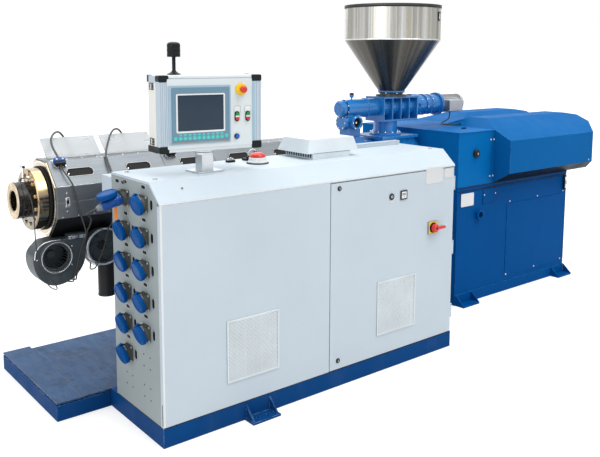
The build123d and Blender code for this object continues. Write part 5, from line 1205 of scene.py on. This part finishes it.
# Lamps: name, direction towards it, strength, spread in degrees, colour
LAMPS = [("key", (0.2, -0.55, 0.85), 1.75, 38, (1.0, 0.985, 0.95)),
         ("fill", (-0.95, -0.2, 0.25), 1.0, 60, (0.95, 0.97, 1.0)),
         ("top", (0.1, 0.25, 1.0), 1.75, 60, (1.0, 1.0, 1.0)),
         ("back", (0.3, 0.85, 0.5), 0.5, 60, (1.0, 1.0, 1.0))]
FLOOR_HALF, FLOOR_Z = 30, -0.0015


def plain_nodes(owner):
    """An empty node tree, and the kinds of ray that tell camera, glass and metal apart."""
    owner.use_nodes = True
    owner.node_tree.nodes.clear()
    made = Nodes(owner.node_tree)
    rays = made.node("LightPath").outputs
    direct = made.math("MAXIMUM", rays["Is Camera Ray"], rays["Is Transmission Ray"])
    return made, direct, rays["Is Glossy Ray"]


def studio():
    """Pale floor, soft lamps, and a world that metal reflects as a studio."""
    scene = bpy.context.scene
    scene.view_settings.view_transform = "Standard"
    scene.world = bpy.data.worlds.new("studio")
    world, direct, glossy = plain_nodes(scene.world)
    height = world.split(world.node("TexCoord").outputs["Generated"])["Z"]
    bands = world.node("ValToRGB", {0: world.ramp(height, -1, 1)})
    bands.color_ramp.interpolation = "EASE"
    while len(bands.color_ramp.elements) < len(ROOM):
        bands.color_ramp.elements.new(0.5)
    for element, (spot, value) in zip(bands.color_ramp.elements, ROOM):
        element.position = spot
        element.color = (value, value, value, 1)
    soft = world.shade("Background", (0.93, 0.97, 1.0), 0.5)
    shown = world.shade("Background", (1, 1, 1), 1.0)
    room = world.shade("Background", bands.outputs[0], 1.0)
    gloss = world.shade("MixShader", glossy, soft, room)
    world.node("OutputWorld", {0: world.shade("MixShader", direct, gloss, shown)})
    for name, toward, strength, spread, colour in LAMPS:
        data = bpy.data.lights.new(name, "SUN")
        data.energy = strength
        data.angle = radians(spread)
        data.color = colour
        lamp = add_object(name, data)
        lamp.rotation_mode = "QUATERNION"
        lamp.rotation_quaternion = Vector(toward).to_track_quat("Z", "Y")
    mesh = bpy.data.meshes.new("floor")
    corners = [(sx * FLOOR_HALF, sy * FLOOR_HALF, FLOOR_Z) for sx, sy in CORNERS]
    mesh.from_pydata(corners, [], [(0, 2, 3, 1)])
    floor = add_object("floor", mesh)
    mat = bpy.data.materials.new("floor_white")
    white, direct, glossy = plain_nodes(mat)
    matte = white.shade("BsdfDiffuse", (0.5, 0.5, 0.5))
    lit = white.shade("AddShader", matte, white.shade("Emission", (1, 1, 1), 0.62))
    bounced = white.shade("BsdfDiffuse", (0.62, 0.62, 0.62))
    seen = white.math("MAXIMUM", direct, glossy)
    white.node("OutputMaterial", {0: white.shade("MixShader", seen, bounced, lit)})
    mesh.materials.append(mat)


studio()
